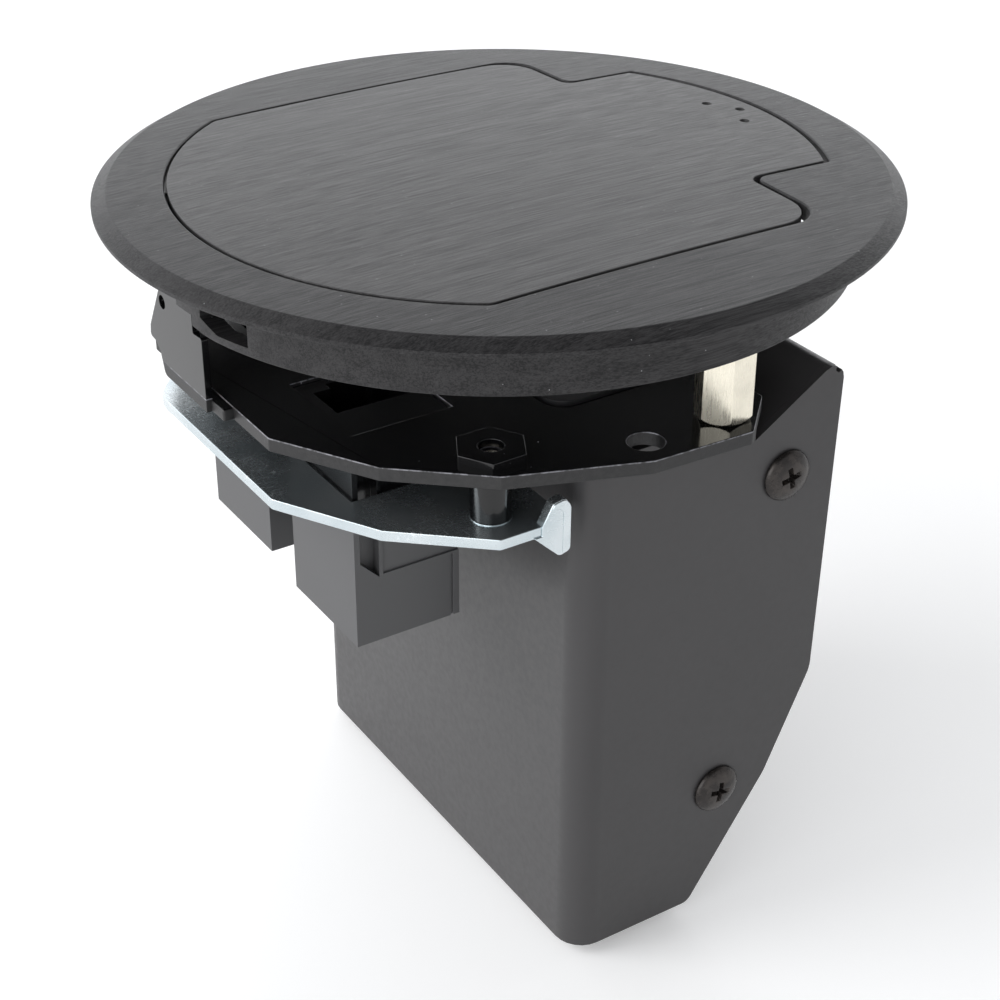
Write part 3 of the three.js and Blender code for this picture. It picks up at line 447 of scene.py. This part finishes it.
def cut(bm, tools, operation="DIFFERENCE"):
    """Boolean a bmesh with a list of bmeshes and return the result as a bmesh."""
    target = scratch("cut_target", bm)
    others = []
    for t in tools:
        other = scratch("cut_tool", t)
        others.append(other)
        mod = target.modifiers.new("cut", "BOOLEAN")
        mod.operation = operation
        mod.solver = "EXACT"
        mod.object = other
    me = evaluated(target)
    out = bmesh.new()
    out.from_mesh(me)
    for o in [target, *others]:
        data = o.data
        bpy.data.objects.remove(o)
        bpy.data.meshes.remove(data)
    return out


def rounded(points, steps=6):
    """A polygon with rounded corners, from points (x, y, radius)."""
    out = []
    for i, (x, y, r) in enumerate(points):
        p = Vector((x, y))
        if not r:
            out.append(p)
            continue
        a = (Vector(points[i - 1][:2]) - p).normalized()
        b = (Vector(points[(i + 1) % len(points)][:2]) - p).normalized()
        half = math.acos(max(-1, min(1, a.dot(b)))) / 2
        centre = p + (a + b).normalized() * (r / math.sin(half))
        start = p + a * (r / math.tan(half)) - centre
        end = p + b * (r / math.tan(half)) - centre
        sweep = math.atan2(start.x * end.y - start.y * end.x, start.dot(end))
        for k in range(steps + 1):
            t = sweep * k / steps
            c, s = math.cos(t), math.sin(t)
            out.append(centre + Vector((start.x * c - start.y * s, start.x * s + start.y * c)))
    return out


def polar(r, degrees):
    t = math.radians(degrees)
    return (r * math.cos(t), r * math.sin(t))


STANDOFF = polar(44.9, -81.05)


def arc(r, a, b, steps):
    return [(*polar(r, a + (b - a) * k / steps), 0) for k in range(steps + 1)]


def lid_outline(side=0.0, shoulder=0.0, end=0.0, corner=LID_CORNER_R):
    r, w, tw, re = LID_R + side, LID_HALF_W + side, TONGUE_HALF_W + side, LID_END_R + end
    front, back = LID_SHOULDERS["front"] + shoulder, LID_SHOULDERS["back"] + shoulder
    tail, tip = math.degrees(math.asin(w / r)), math.degrees(math.asin(tw / re))
    xt, xr = re * math.cos(math.radians(tip)), -r * math.cos(math.radians(tail))
    pts = rounded(
        [
            (xt, -tw, 0.6), *arc(re, -tip + 2, tip - 2, 30), (xt, tw, 0.6), (back, tw, 2.0),
            (back, w, corner)
        ]
        + [(xr, w, 2.5), *arc(r, 180 - tail + 4, 180 + tail - 4, 64), (xr, -w, 2.5)]
        + [(front, -w, corner), (front, -tw, 2.0)]
    )
    dense = []
    for i, p in enumerate(pts):
        q = pts[(i + 1) % len(pts)]
        n = max(1, math.ceil((q - p).length / 2.0))
        dense += [p.lerp(q, k / n) for k in range(n)]
    return dense


def normals_of(points):
    """Outward normals of a counterclockwise outline."""
    out = []
    for i in range(len(points)):
        d = (points[(i + 1) % len(points)] - points[i - 1]).normalized()
        out.append(Vector((d.y, -d.x)))
    return out


def crown_z(r):
    return FLANGE_T + CROWN * (1 - (r / (FLANGE_R - BEVEL_RUN)) ** 2)


def loops_to_mesh(rows, closed=True):
    """Faces between rows of points; the last row joins the first if closed."""
    bm = bmesh.new()
    rings = [[bm.verts.new(p) for p in row] for row in rows]
    n = len(rows[0])
    pairs = list(zip(rings, rings[1:])) + ([(rings[-1], rings[0])] if closed else [])
    for a, b in pairs:
        for i in range(n):
            j = (i + 1) % n
            bm.faces.new((a[i], a[j], b[j], b[i]))
    return bm, rings


def prism(points, lo, hi, axis="Z"):
    """Extrude a 2-D outline along an axis: Z keeps (x, y), Y takes (x, z), X takes (y, z)."""
    place = {
        "Z": lambda u, v, w: (u, v, w), "Y": lambda u, v, w: (u, w, v), "X": lambda u, v,
        w: (w, u, v)
    }[axis]
    rows = [[place(p[0], p[1], w) for p in points] for w in (lo, hi)]
    bm, rings = loops_to_mesh(rows, closed=False)
    bm.faces.new(rings[0])
    bm.faces.new(rings[1])
    return bm


def box(x0, x1, y0, y1, z0, z1):
    return prism([(x0, y0), (x1, y0), (x1, y1), (x0, y1)], z0, z1)


def disc(r, n=40, phase=0.0):
    return [
        (
            r * math.cos(2 * math.pi * (k + phase) / n), r * math.sin(2 * math.pi * (k + phase) / n)
        ) for k in range(n)
    ]


def rod(r, u, v, lo, hi, axis="Z", n=40):
    return prism([(u + a, v + b) for a, b in disc(r, n)], lo, hi, axis)


def lathe(profile, n=64):
    """Turn an (r, z) profile about Z; the first and last points may lie on the axis."""
    rows = [[(r * c, r * s, z) for c, s in disc(1.0, n)] for r, z in profile if r > 1e-6]
    bm, rings = loops_to_mesh(rows, closed=False)
    for (r, z), ring in ((profile[0], rings[0]), (profile[-1], rings[-1])):
        if r > 1e-6:
            bm.faces.new(ring)
            continue
        tip = bm.verts.new((0, 0, z))
        for i in range(n):
            bm.faces.new((ring[i], ring[(i + 1) % n], tip))
    return bm


def joined(*parts):
    out = bmesh.new()
    for part in parts:
        me = bpy.data.meshes.new("join")
        part.to_mesh(me)
        part.free()
        out.from_mesh(me)
        bpy.data.meshes.remove(me)
    return out


def softened(bm, width, segments=3, angle=30.0, clamp=False):
    """Round the edges of a bmesh with the bevel modifier and return a bmesh."""
    obj = scratch("soften", bm)
    mod = obj.modifiers.new("bevel", "BEVEL")
    mod.width = width
    mod.segments = segments
    mod.limit_method = "ANGLE"
    mod.angle_limit = math.radians(angle)
    mod.use_clamp_overlap = clamp
    me = evaluated(obj)
    out = bmesh.new()
    out.from_mesh(me)
    bpy.data.objects.remove(obj)
    bpy.data.meshes.remove(me)
    return out


def cad_bmesh(node):
    """A node's mesh in millimetres with coplanar triangles merged."""
    bm = bmesh.new()
    bm.from_mesh(NODES[node].data)
    bmesh.ops.scale(bm, vec=(1000, 1000, 1000), verts=bm.verts)
    bmesh.ops.remove_doubles(bm, verts=bm.verts, dist=0.002)
    bmesh.ops.dissolve_limit(bm, angle_limit=math.radians(0.4), verts=bm.verts, edges=bm.edges)
    return bm


def finish_node(
    node, mats, width, body="housing", angle=30.0, segments=3, tools=(), warp=None
):
    """Stand a rounded copy of a CAD node in for it."""
    bm = cad_bmesh(node)
    if tools:
        bm = cut(bm, tools)
    if warp:
        for v in bm.verts:
            v.co = warp(v.co)
    bm = softened(bm, width, segments, angle, clamp=True)
    return object_from(node + "_skin", bm, mats, body, (node,), 32.0)


# ---------------------------------------------------------------- bezel
def make_bezel(mats):
    hole = lid_outline(GAP_SIDE, GAP_SHOULDER, GAP_END, LID_CORNER_R - 0.5)
    normals = normals_of(hole)
    soft = 0.32
    rows = [[(p.x, p.y, 0.0) for p in hole]]
    for degrees in (0, 22, 45, 68, 90):
        a = math.radians(degrees)
        row = []
        for p, n in zip(hole, normals):
            q = p + n * soft * (1 - math.cos(a))
            row.append((q.x, q.y, crown_z(q.length) - soft * (1 - math.sin(a))))
        rows.append(row)
    top_r = FLANGE_R - BEVEL_RUN
    steps = 7
    for k in range(1, steps + 1):
        row = []
        for p, n in zip(hole, normals):
            q = p + n * soft
            r = q.length + (top_r - 0.1 - q.length) * k / steps
            row.append((*(q.normalized() * r), crown_z(r)))
        rows.append(row)
    slope = BEVEL_DROP / BEVEL_RUN
    profile = [
        (top_r, FLANGE_T - 0.015),
        (top_r + 0.1, FLANGE_T - 0.1 * slope),
        (FLANGE_R - 0.12, FLANGE_T - BEVEL_DROP + 0.07),
        (FLANGE_R - 0.02, FLANGE_T - BEVEL_DROP - 0.02),
        (FLANGE_R, FLANGE_T - BEVEL_DROP - 0.12),
        (FLANGE_R, 0.16),
        (FLANGE_R - 0.05, 0.05),
        (FLANGE_R - 0.16, 0.0),
        (COLLAR_R + 0.35, 0.0),
        (COLLAR_R + 0.1, -0.1),
        (COLLAR_R, -0.35),
        (COLLAR_R, -COLLAR_H + 0.3),
        (COLLAR_R - 0.09, -COLLAR_H + 0.09),
        (COLLAR_R - 0.3, -COLLAR_H),
        (COLLAR_IN + 0.3, -COLLAR_H),
        (COLLAR_IN + 0.09, -COLLAR_H + 0.09),
        (COLLAR_IN, -COLLAR_H + 0.3),
        (COLLAR_IN, 0.0),
    ]
    top_rows = len(rows)
    for r, z in profile:
        rows.append([(*(p.normalized() * r), z) for p in hole])
    bm, _ = loops_to_mesh(rows)
    n = len(hole)
    bm.faces.ensure_lookup_table()
    for k in range(len(rows)):
        index = 0 if k < top_rows - 1 else 1 if k < top_rows + 7 else 2
        for f in bm.faces[k * n : (k + 1) * n]:
            f.material_index = index
    low = -COLLAR_H
    notch = [
        (15.0, low - 1), (15.0, NOTCH_TOP), (NOTCH_SIDE, NOTCH_TOP), (NOTCH_SIDE, NOTCH_STEP),
        (-5.4, NOTCH_STEP), (-5.4, low + 0.6), (-10.6, low), (-10.6, low - 1)
    ]
    window = [
        (-16.7, low + 1.3), (-11.0, low + 1.15), (-7.5, low + 2.5), (-7.5, -0.3), (-16.7, -0.3)
    ]
    notch = prism(notch, -COLLAR_R - 1, NOTCH_DEEP, "X")
    window = prism(window, -COLLAR_R - 1, NOTCH_DEEP, "X")
    bm = cut(bm, [notch, window])
    extras = []
    half = 30
    ledge = arc(
        COLLAR_IN + 0.8, 180 - half, 180 + half, 24
    ) + arc(LEDGE_R, 180 + half, 180 - half, 24)
    extras.append(softened(prism(ledge, LEDGE_Z0, LEDGE_Z1), 0.15))
    for s in SIDES.values():
        y0, y1 = sorted((s * 24.2, s * 31.0))
        ear = rounded(
            [
                (PIN_X - 2.2, PIN_Z - 1.7, 1.0), (PIN_X + 2.2, PIN_Z - 1.7, 1.0),
                (PIN_X + 2.2, 0.5, 0), (PIN_X - 2.2, 0.5, 0)
            ]
        )
        extras.append(softened(prism(ear, y0, y1, "Y"), 0.1))
        x, y = STANDOFF
        extras.append(softened(rod(4.6, x, s * -y, -COLLAR_H + 0.02, 0.3, n=48), 0.3))
    for part in extras:
        for f in part.faces:
            f.material_index = 2
    bm = joined(bm, *extras)
    return object_from(
        "bezel", bm, (mats["flange"], mats["edge"], mats["collar"]), "housing",
        ("bezel_ring",), 30.0
    )


# ---------------------------------------------------------------- lid
def make_lid(mats):
    edge = lid_outline()
    normals = normals_of(edge)
    soft, under = 0.14, 0.6
    rows = []
    for share in (0.12, 0.26, 0.4, 0.53, 0.65, 0.76, 0.86, 0.94, 1.0):
        row = []
        for p, n in zip(edge, normals):
            q = (p - n * soft) * share
            row.append((q.x, q.y, crown_z(q.length)))
        rows.append(row)
    for degrees in (60, 30, 0):
        a = math.radians(degrees)
        row = []
        for p, n in zip(edge, normals):
            q = p - n * soft * (1 - math.cos(a))
            row.append((q.x, q.y, crown_z(p.length) - soft * (1 - math.sin(a))))
        rows.append(row)
    rows.append([(p.x, p.y, LID_Z0 + under) for p in edge])
    rows.append([(*(p - n * under), LID_Z0) for p, n in zip(edge, normals)])
    bm, rings = loops_to_mesh(rows, closed=False)
    tip = bm.verts.new((0, 0, crown_z(0)))
    ring = rings[0]
    for i in range(len(ring)):
        bm.faces.new((ring[i], ring[(i + 1) % len(ring)], tip))
    bm.faces.new(rings[-1])
    tools = []
    for x, y in DIMPLES:
        ball = lathe(
            [(0, -1), (0.5, -0.87), (0.87, -0.5), (1, 0), (0.87, 0.5), (0.5, 0.87), (0, 1)], 28
        )
        bmesh.ops.scale(ball, vec=(0.78, 0.78, 0.55), verts=ball.verts)
        bmesh.ops.translate(ball, vec=(x, y, crown_z(math.hypot(x, y)) + 0.04), verts=ball.verts)
        tools.append(ball)
    for s in SIDES.values():
        y0, y1 = sorted((s * 18.3, s * 24.5))
        tools.append(rod(PIN_HOLE_R, PIN_X, PIN_Z, y0, y1, "Y"))
    bm = cut(bm, tools)
    knuckles = []
    for s in SIDES.values():
        y0, y1 = sorted((s * 17.0, s * (TONGUE_HALF_W - 0.02)))
        shape = rounded(
            [
                (PIN_X - 2, PIN_Z - 1.7, 1.6), (PIN_X + 2, PIN_Z - 1.7, 1.6),
                (PIN_X + 2, LID_Z0 + 0.1, 0), (PIN_X - 2, LID_Z0 + 0.1, 0)
            ]
        )
        h0, h1 = sorted((s * 18.3, s * 24.5))
        knuckles.append(
            cut(prism(shape, y0, y1, "Y"), [rod(PIN_HOLE_R, PIN_X, PIN_Z, h0, h1, "Y")])
        )
    bm = joined(bm, *knuckles)
    return object_from("lid_skin", bm, (mats["lid"],), "lid", ("lid",), 30.0)


# ---------------------------------------------------------------- small turned and hexagonal parts
def make_standoff(mats, where, s):
    x, y = STANDOFF[0], s * -STANDOFF[1]
    top, bottom = -COLLAR_H - 0.05, STANDOFF_BOTTOM
    body = prism(hexagon(STANDOFF_AF, x, y, STANDOFF_TURN), bottom, top)
    turned = lathe(
        [
            (0, bottom), (3.35, bottom), (3.75, bottom + 0.3), (4.06, bottom + 0.62),
            (4.1, top - 0.5), (3.6, top), (0, top)
        ],
        72
    )
    bmesh.ops.translate(turned, vec=(x, y, 0), verts=turned.verts)
    body = softened(cut(body, [turned], "INTERSECT"), 0.09, 2, 25.0)
    studs = joined(
        rod(STUD_R, x, y, top - 0.5, -COLLAR_H + 4.0, n=32),
        rod(STUD_R, x, y, -19.85 - 1.6, bottom + 0.5, n=32)
    )
    bm = joined(body, softened(studs, 0.2))
    object_from(
        "standoff_" + where + "_skin", bm, (mats["nickel"],), "housing",
        ("standoff_" + where,), 28.0
    )


def cross_tool(depth, top, reach=1.75, width=0.42):
    """A tapered cross-recess cutter pointing down from z = top."""
    arms = []
    for turn in (0, 90):
        low = [
            (-reach * 0.55, -width * 0.6), (reach * 0.55, -width * 0.6),
            (reach * 0.55, width * 0.6), (-reach * 0.55, width * 0.6)
        ]
        high = [(-reach, -width), (reach, -width), (reach, width), (-reach, width)]
        bm, rings = loops_to_mesh(
            [[(a, b, top - depth) for a, b in low], [(a, b, top + 0.3) for a, b in high]],
            closed=False
        )
        bm.faces.new(rings[0])
        bm.faces.new(rings[1])
        bmesh.ops.rotate(
            bm, cent=(0, 0, 0), matrix=Matrix.Rotation(math.radians(turn), 3, "Z"), verts=bm.verts
        )
        arms.append(bm)
    return arms


def make_cover_screw(mats, where, level, s):
    node = "cover_screw_%s_%s" % (where, level)
    lo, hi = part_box(node)
    x, z = (lo[0] + hi[0]) * 500, (lo[2] + hi[2]) * 500
    face = COVER_FACES[s]
    head = lathe(
        [
            (0, 0), (3.7, 0), (3.86, 0.1), (3.9, 0.28), (3.78, 0.5), (3.4, 0.8), (2.7, 1.08),
            (1.8, 1.28), (0.9, 1.37), (0, 1.4)
        ],
        64
    )
    head = softened(cut(head, cross_tool(1.15, 1.35, 1.9, 0.46)), 0.06, 3, 40.0)
    shank = softened(rod(1.35, 0, 0, -5.7, 0.3, n=32), 0.15)
    bm = joined(head, shank)
    turn = Matrix.Rotation(math.radians(-90 if s > 0 else 90), 3, "X")
    bmesh.ops.rotate(
        bm, cent=(0, 0, 0), matrix=Matrix.Rotation(math.radians(SCREW_TURNS[level]), 3, "Z"),
        verts=bm.verts
    )
    bmesh.ops.rotate(bm, cent=(0, 0, 0), matrix=turn, verts=bm.verts)
    bmesh.ops.translate(bm, vec=(x, face, z), verts=bm.verts)
    object_from(node + "_skin", bm, (mats["screw"],), "housing", (node,), 35.0)


# ---------------------------------------------------------------- device plate and bracket
PLATE_TOP, PLATE_BOTTOM, PLATE_LEFT, PLATE_RIGHT = -19.85, -21.85, -46.7, 15.0
POST_X, POST_Y = -24.4, 36.7
JACK_XS = {"front": -29.55, "back": -28.2}
OUTLET_YS = (-18.0, 11.0)
BRACKET_TOP, BRACKET_BOTTOM, BRACKET_RIGHT, BRACKET_FRONT = -29.2, -30.8, -16.0, -42.6


def hexagon(af, x, y, turn):
    r = af / math.sqrt(3)
    return [
        (
            x + r * math.cos(math.radians(turn + 60 * k)),
            y + r * math.sin(math.radians(turn + 60 * k))
        ) for k in range(6)
    ]


def tagged(bm, index):
    for f in bm.faces:
        f.material_index = index
    return bm


def make_plate(mats):
    half = [
        (PLATE_LEFT, -17.9, 0.8), (*polar(FACET_R, 220.1), CORNER_SOFT),
        (*polar(FACET_R, 238.0), CORNER_SOFT), (*polar(FACET_R, 261.0), CORNER_SOFT)
    ]
    half += [(*polar(50.7, 278.7), 0.8), (PLATE_RIGHT, -42.9, 0.8)]
    edge = rounded(half + [(x, -y, r) for x, y, r in reversed(half)], 4)
    z0, z1 = PLATE_BOTTOM - 1, PLATE_TOP + 1
    tools = []
    for where, s in SIDES.items():
        y0, y1 = sorted((s * 5.7, s * 23.1))
        x = JACK_XS[where]
        tools.append(box(x - PLATE_SLOT_HALF, x + PLATE_SLOT_HALF, y0, y1, z0, z1))
        tools.append(rod(2.55, -5.8, s * 44.8, z0, z1))
        tools.append(rod(2.1, STANDOFF[0], s * -STANDOFF[1], z0, z1))
        tools.append(rod(POST_BORE_R, POST_X, s * POST_Y, z0, z1))
    for y in OUTLET_YS:
        corners = [
            (-11.0, y - 13.5, 3.5), (11.6, y - 13.5, 3.5), (11.6, y + 13.5, 3.5),
            (-11.0, y + 13.5, 3.5)
        ]
        tools.append(prism(rounded(corners), z0, z1))
    parts = [
        tagged(softened(cut(prism(edge, PLATE_BOTTOM, PLATE_TOP), tools), 0.13, angle=40.0), 0)
    ]
    for s in SIDES.values():
        y = s * POST_Y
        pad = cut(
            prism(hexagon(8.8, POST_X, y, 0.7), PLATE_TOP - 0.5, PLATE_TOP + 1.15),
            [rod(POST_BORE_R, POST_X, y, z0, z1 + 1)]
        )
        parts.append(tagged(softened(pad, 0.13, angle=40.0), 0))
        post = cut(
            rod(POST_R, POST_X, y, BRACKET_TOP + 0.2, PLATE_BOTTOM + 0.5, n=56),
            [rod(POST_BORE_R, POST_X, y, -31, z1)]
        )
        parts.append(tagged(softened(post, 0.15, angle=40.0), 0))
    wall = [
        (-3.7, PLATE_BOTTOM, 0), (9.8, PLATE_BOTTOM, 1.0), (10.9, PLATE_BOTTOM + 3.2, 0.8),
        (12.0, -17.5, 0.6), (14.0, -17.3, 0.6)
    ]
    wall += [
        (13.7, -15.5, 0.6), (9.6, -8.5, 0.6), (9.2, WALL_TOP, 0.4), (-1.0, WALL_TOP, 0.4),
        (-1.0, -11.1, 0.3), (-3.7, -10.8, 0.4)
    ]
    wall = cut(
        prism(rounded(wall), WALL_OUT, WALL_IN, "X"), [rod(1.0, 8.8, -10.3, -50, -46, "X", 32)]
    )
    parts.append(tagged(softened(wall, 0.24, angle=40.0, clamp=True), 1))
    parts.append(
        tagged(
            softened(box(-48.2, PLATE_LEFT + 1.0, -7.5, 9.0, PLATE_BOTTOM, PLATE_TOP - 0.2), 0.35),
            0
        )
    )
    object_from(
        "device_plate_skin", joined(*parts), (mats["plate"], mats["wall"]), "housing",
        ("device_plate",)
    )


def make_bracket(mats):
    edge = [
        (PLATE_LEFT, -17.6, 0.8), (*polar(FACET_R, 220.1), CORNER_SOFT),
        (*polar(FACET_R, 238.0), CORNER_SOFT), (-20.0, BRACKET_FRONT, 0.8)
    ]
    edge += [
        (BRACKET_RIGHT, BRACKET_FRONT, 0.4), (BRACKET_RIGHT, 33.5, 0.8), (-25.5, 41.8, 3.0),
        (-31.5, 36.5, 4.0), (PLATE_LEFT, 18.0, 5.0)
    ]
    tools = []
    for where, s in SIDES.items():
        y0, y1 = sorted((s * 4.9, s * 23.9))
        x = JACK_XS[where]
        tools.append(box(x - BRACKET_SLOT_HALF, x + BRACKET_SLOT_HALF, y0, y1, -32, -28))
        tools.append(rod(BRACKET_BORE_R, POST_X, s * POST_Y, -32, -28))
    parts = [
        softened(cut(prism(rounded(edge, 4), BRACKET_BOTTOM, BRACKET_TOP), tools), 0.14, angle=40.0)
    ]
    for s in SIDES.values():
        ring = cut(
            rod(POST_R, POST_X, s * POST_Y, BRACKET_TOP - 0.5, BRACKET_TOP + 0.15, n=56),
            [rod(BRACKET_BORE_R, POST_X, s * POST_Y, -32, -27)]
        )
        parts.append(softened(ring, 0.05, angle=40.0))
    r, t, b = BRACKET_RIGHT, BRACKET_TOP, BRACKET_BOTTOM
    ear = [
        (r - 5.6, b + 0.2, 0), (r - 1.6, b - 3.7, 0.9), (r, b - 3.1, 1.0), (r, t + 2.2, 1.6),
        (r - 0.9, t + 3.4, 1.0)
    ]
    ear += [(r - 2.7, t + 3.1, 0.8), (r - 4.4, t, 0), (r - 4.4, b + 0.2, 0)]
    parts.append(
        softened(
            prism(rounded(ear), BRACKET_FRONT - 0.3, BRACKET_FRONT + 1.3, "Y"), 0.16, angle=40.0,
            clamp=True
        )
    )
    rim = [
        (r - 1.2, b - 3.35, 0.2), (r - 0.02, b - 3.05, 0.8), (r - 0.02, t + 2.1, 1.5),
        (r - 0.9, t + 3.3, 1.0), (r - 2.6, t + 3.0, 0.7)
    ]
    rim += [(r - 3.0, t + 2.2, 0.2), (r - 2.3, t + 2.1, 0.4), (r - 1.2, t + 1.6, 0.9)]
    parts.append(
        softened(
            prism(rounded(rim), BRACKET_FRONT - 0.46, BRACKET_FRONT + 0.6, "Y"), 0.14, 4,
            angle=40.0, clamp=True
        )
    )
    parts.append(softened(box(r - 1.2, r, -4.0, 12.0, b - 6.5, t - 0.1), 0.2))
    object_from(
        "bracket_plate_skin", joined(*parts), (mats["zinc"],), "housing",
        ("bracket_plate",)
    )


def closed_gap(co):
    """Bring the body's bent sheet up to the cover's front and back faces."""
    y = co.y
    if y < -41.0:
        y -= 0.27
    if y > 32.4:
        y += 0.27
    return Vector((co.x, y, co.z))


# ---------------------------------------------------------------- all pieces
def make_pieces(mats):
    make_bezel(mats)
    make_lid(mats)
    make_plate(mats)
    make_bracket(mats)
    relief = [rod(0.55, 28.5, -19.4, y0, y0 + 3, "Y", 20) for y0 in (-44.5, 32.5)]
    finish_node("box_cover", (mats["powder"],), 0.22, angle=35.0, tools=relief)
    finish_node("box_body", (mats["powder"],), 0.18, angle=35.0, warp=closed_gap)
    finish_node("cord_bushing", (mats["nylon"],), 0.2)
    finish_node("earth_screw", (mats["brass"],), 0.12)
    for where, s in SIDES.items():
        make_standoff(mats, where, s)
        for level in ("upper", "lower"):
            make_cover_screw(mats, where, level, s)
        finish_node("jack_housing_" + where, (mats["jack"],), 0.16, angle=35.0)
        finish_node("jack_cap_" + where, (mats["dark"],), 0.15)
        finish_node("jack_contacts_" + where, (mats["gold"],), 0.04)
        finish_node("outlet_" + where, (mats["dark"],), 0.25)
        for kind in ("live", "neutral", "earth"):
            finish_node("outlet_%s_%s" % (kind, where), (mats["brass"],), 0.06)
        finish_node("hinge_pin_" + where, (mats["pin"],), 0.1)
        finish_node("lid_bumper_" + where, (mats["rubber"],), 0.2)
        finish_node("bracket_screw_" + where, (mats["nickel"],), 0.15)


# ---------------------------------------------------------------- stage and light
def make_stage():
    bm = bmesh.new()
    bmesh.ops.create_grid(bm, x_segments=8, y_segments=8, size=4.0)
    bmesh.ops.translate(bm, vec=(0, 0, FLOOR_Z), verts=bm.verts)
    me = bpy.data.meshes.new("floor")
    bm.to_mesh(me)
    bm.free()
    floor = bpy.data.objects.new("floor", me)
    bpy.context.collection.objects.link(floor)
    m = Mat("floor", (0.9, 0.9, 0.9), 0.8)
    cloud = m.noise((0.002, 0.002, 0.002), 2.0, 0.5)
    m.color(m.mix(m.span(cloud, 0.3, 0.7, 0.0, 1.0), (0.88, 0.88, 0.88), (0.92, 0.92, 0.92)))
    m.bsdf.inputs["Emission Color"].default_value = (1, 1, 1, 1)
    m.bsdf.inputs["Emission Strength"].default_value = 0.22
    me.materials.append(m.mat)


def lamp(name, where, aim, size, power):
    data = bpy.data.lights.new(name, "AREA")
    data.energy = power
    data.shape = "RECTANGLE"
    data.size = size
    data.size_y = size
    obj = bpy.data.objects.new(name, data)
    obj.location = where
    obj.rotation_euler = (Vector(aim) - Vector(where)).to_track_quat("-Z", "Y").to_euler()
    bpy.context.collection.objects.link(obj)


def make_lights():
    """A white sweep that is bright low down and behind, with a dark ceiling, and two soft boxes."""
    world = bpy.data.worlds.new("studio")
    world.use_nodes = True
    tree = world.node_tree
    background = tree.nodes["Background"]
    coord = tree.nodes.new("ShaderNodeTexCoord").outputs["Generated"]

    def lobe(axis, lo, hi, low, high):
        dot = tree.nodes.new("ShaderNodeVectorMath")
        dot.operation = "DOT_PRODUCT"
        tree.links.new(coord, dot.inputs[0])
        dot.inputs[1].default_value = Vector(axis).normalized()
        step = tree.nodes.new("ShaderNodeMapRange")
        step.interpolation_type = "SMOOTHSTEP"
        for key, value in (("From Min", lo), ("From Max", hi), ("To Min", low), ("To Max", high)):
            step.inputs[key].default_value = value
        tree.links.new(dot.outputs["Value"], step.inputs["Value"])
        return step.outputs["Result"]

    def both(op, a, b):
        n = tree.nodes.new("ShaderNodeMath")
        n.operation = op
        tree.links.new(a, n.inputs[0])
        tree.links.new(b, n.inputs[1])
        return n.outputs[0]

    glow = both(
        "ADD", lobe((0.52, 0.85, 0.45), 0.3, 0.95, 0.0, 1.1),
        lobe((-1.0, 0.1, 0.0), 0.2, 0.95, 0.0, 1.5)
    )
    glow = both("ADD", glow, lobe((0.0, 0.0, 1.0), 0.40, 0.72, 0.72, 0.03))
    tree.links.new(glow, background.inputs["Strength"])
    background.inputs["Color"].default_value = (0.97, 0.98, 1.0, 1)
    bpy.context.scene.world = world
    lamp("key", (-1.1, 0.5, 0.75), (0, 0, -0.04), 0.8, 8.0)
    lamp("fill", (-0.9, -0.8, 0.25), (0, 0, -0.05), 0.7, 2.5)
    bpy.context.scene.view_settings.view_transform = "Standard"


make_camera()
materials = make_materials()
make_pieces(materials)
make_stage()
make_lights()
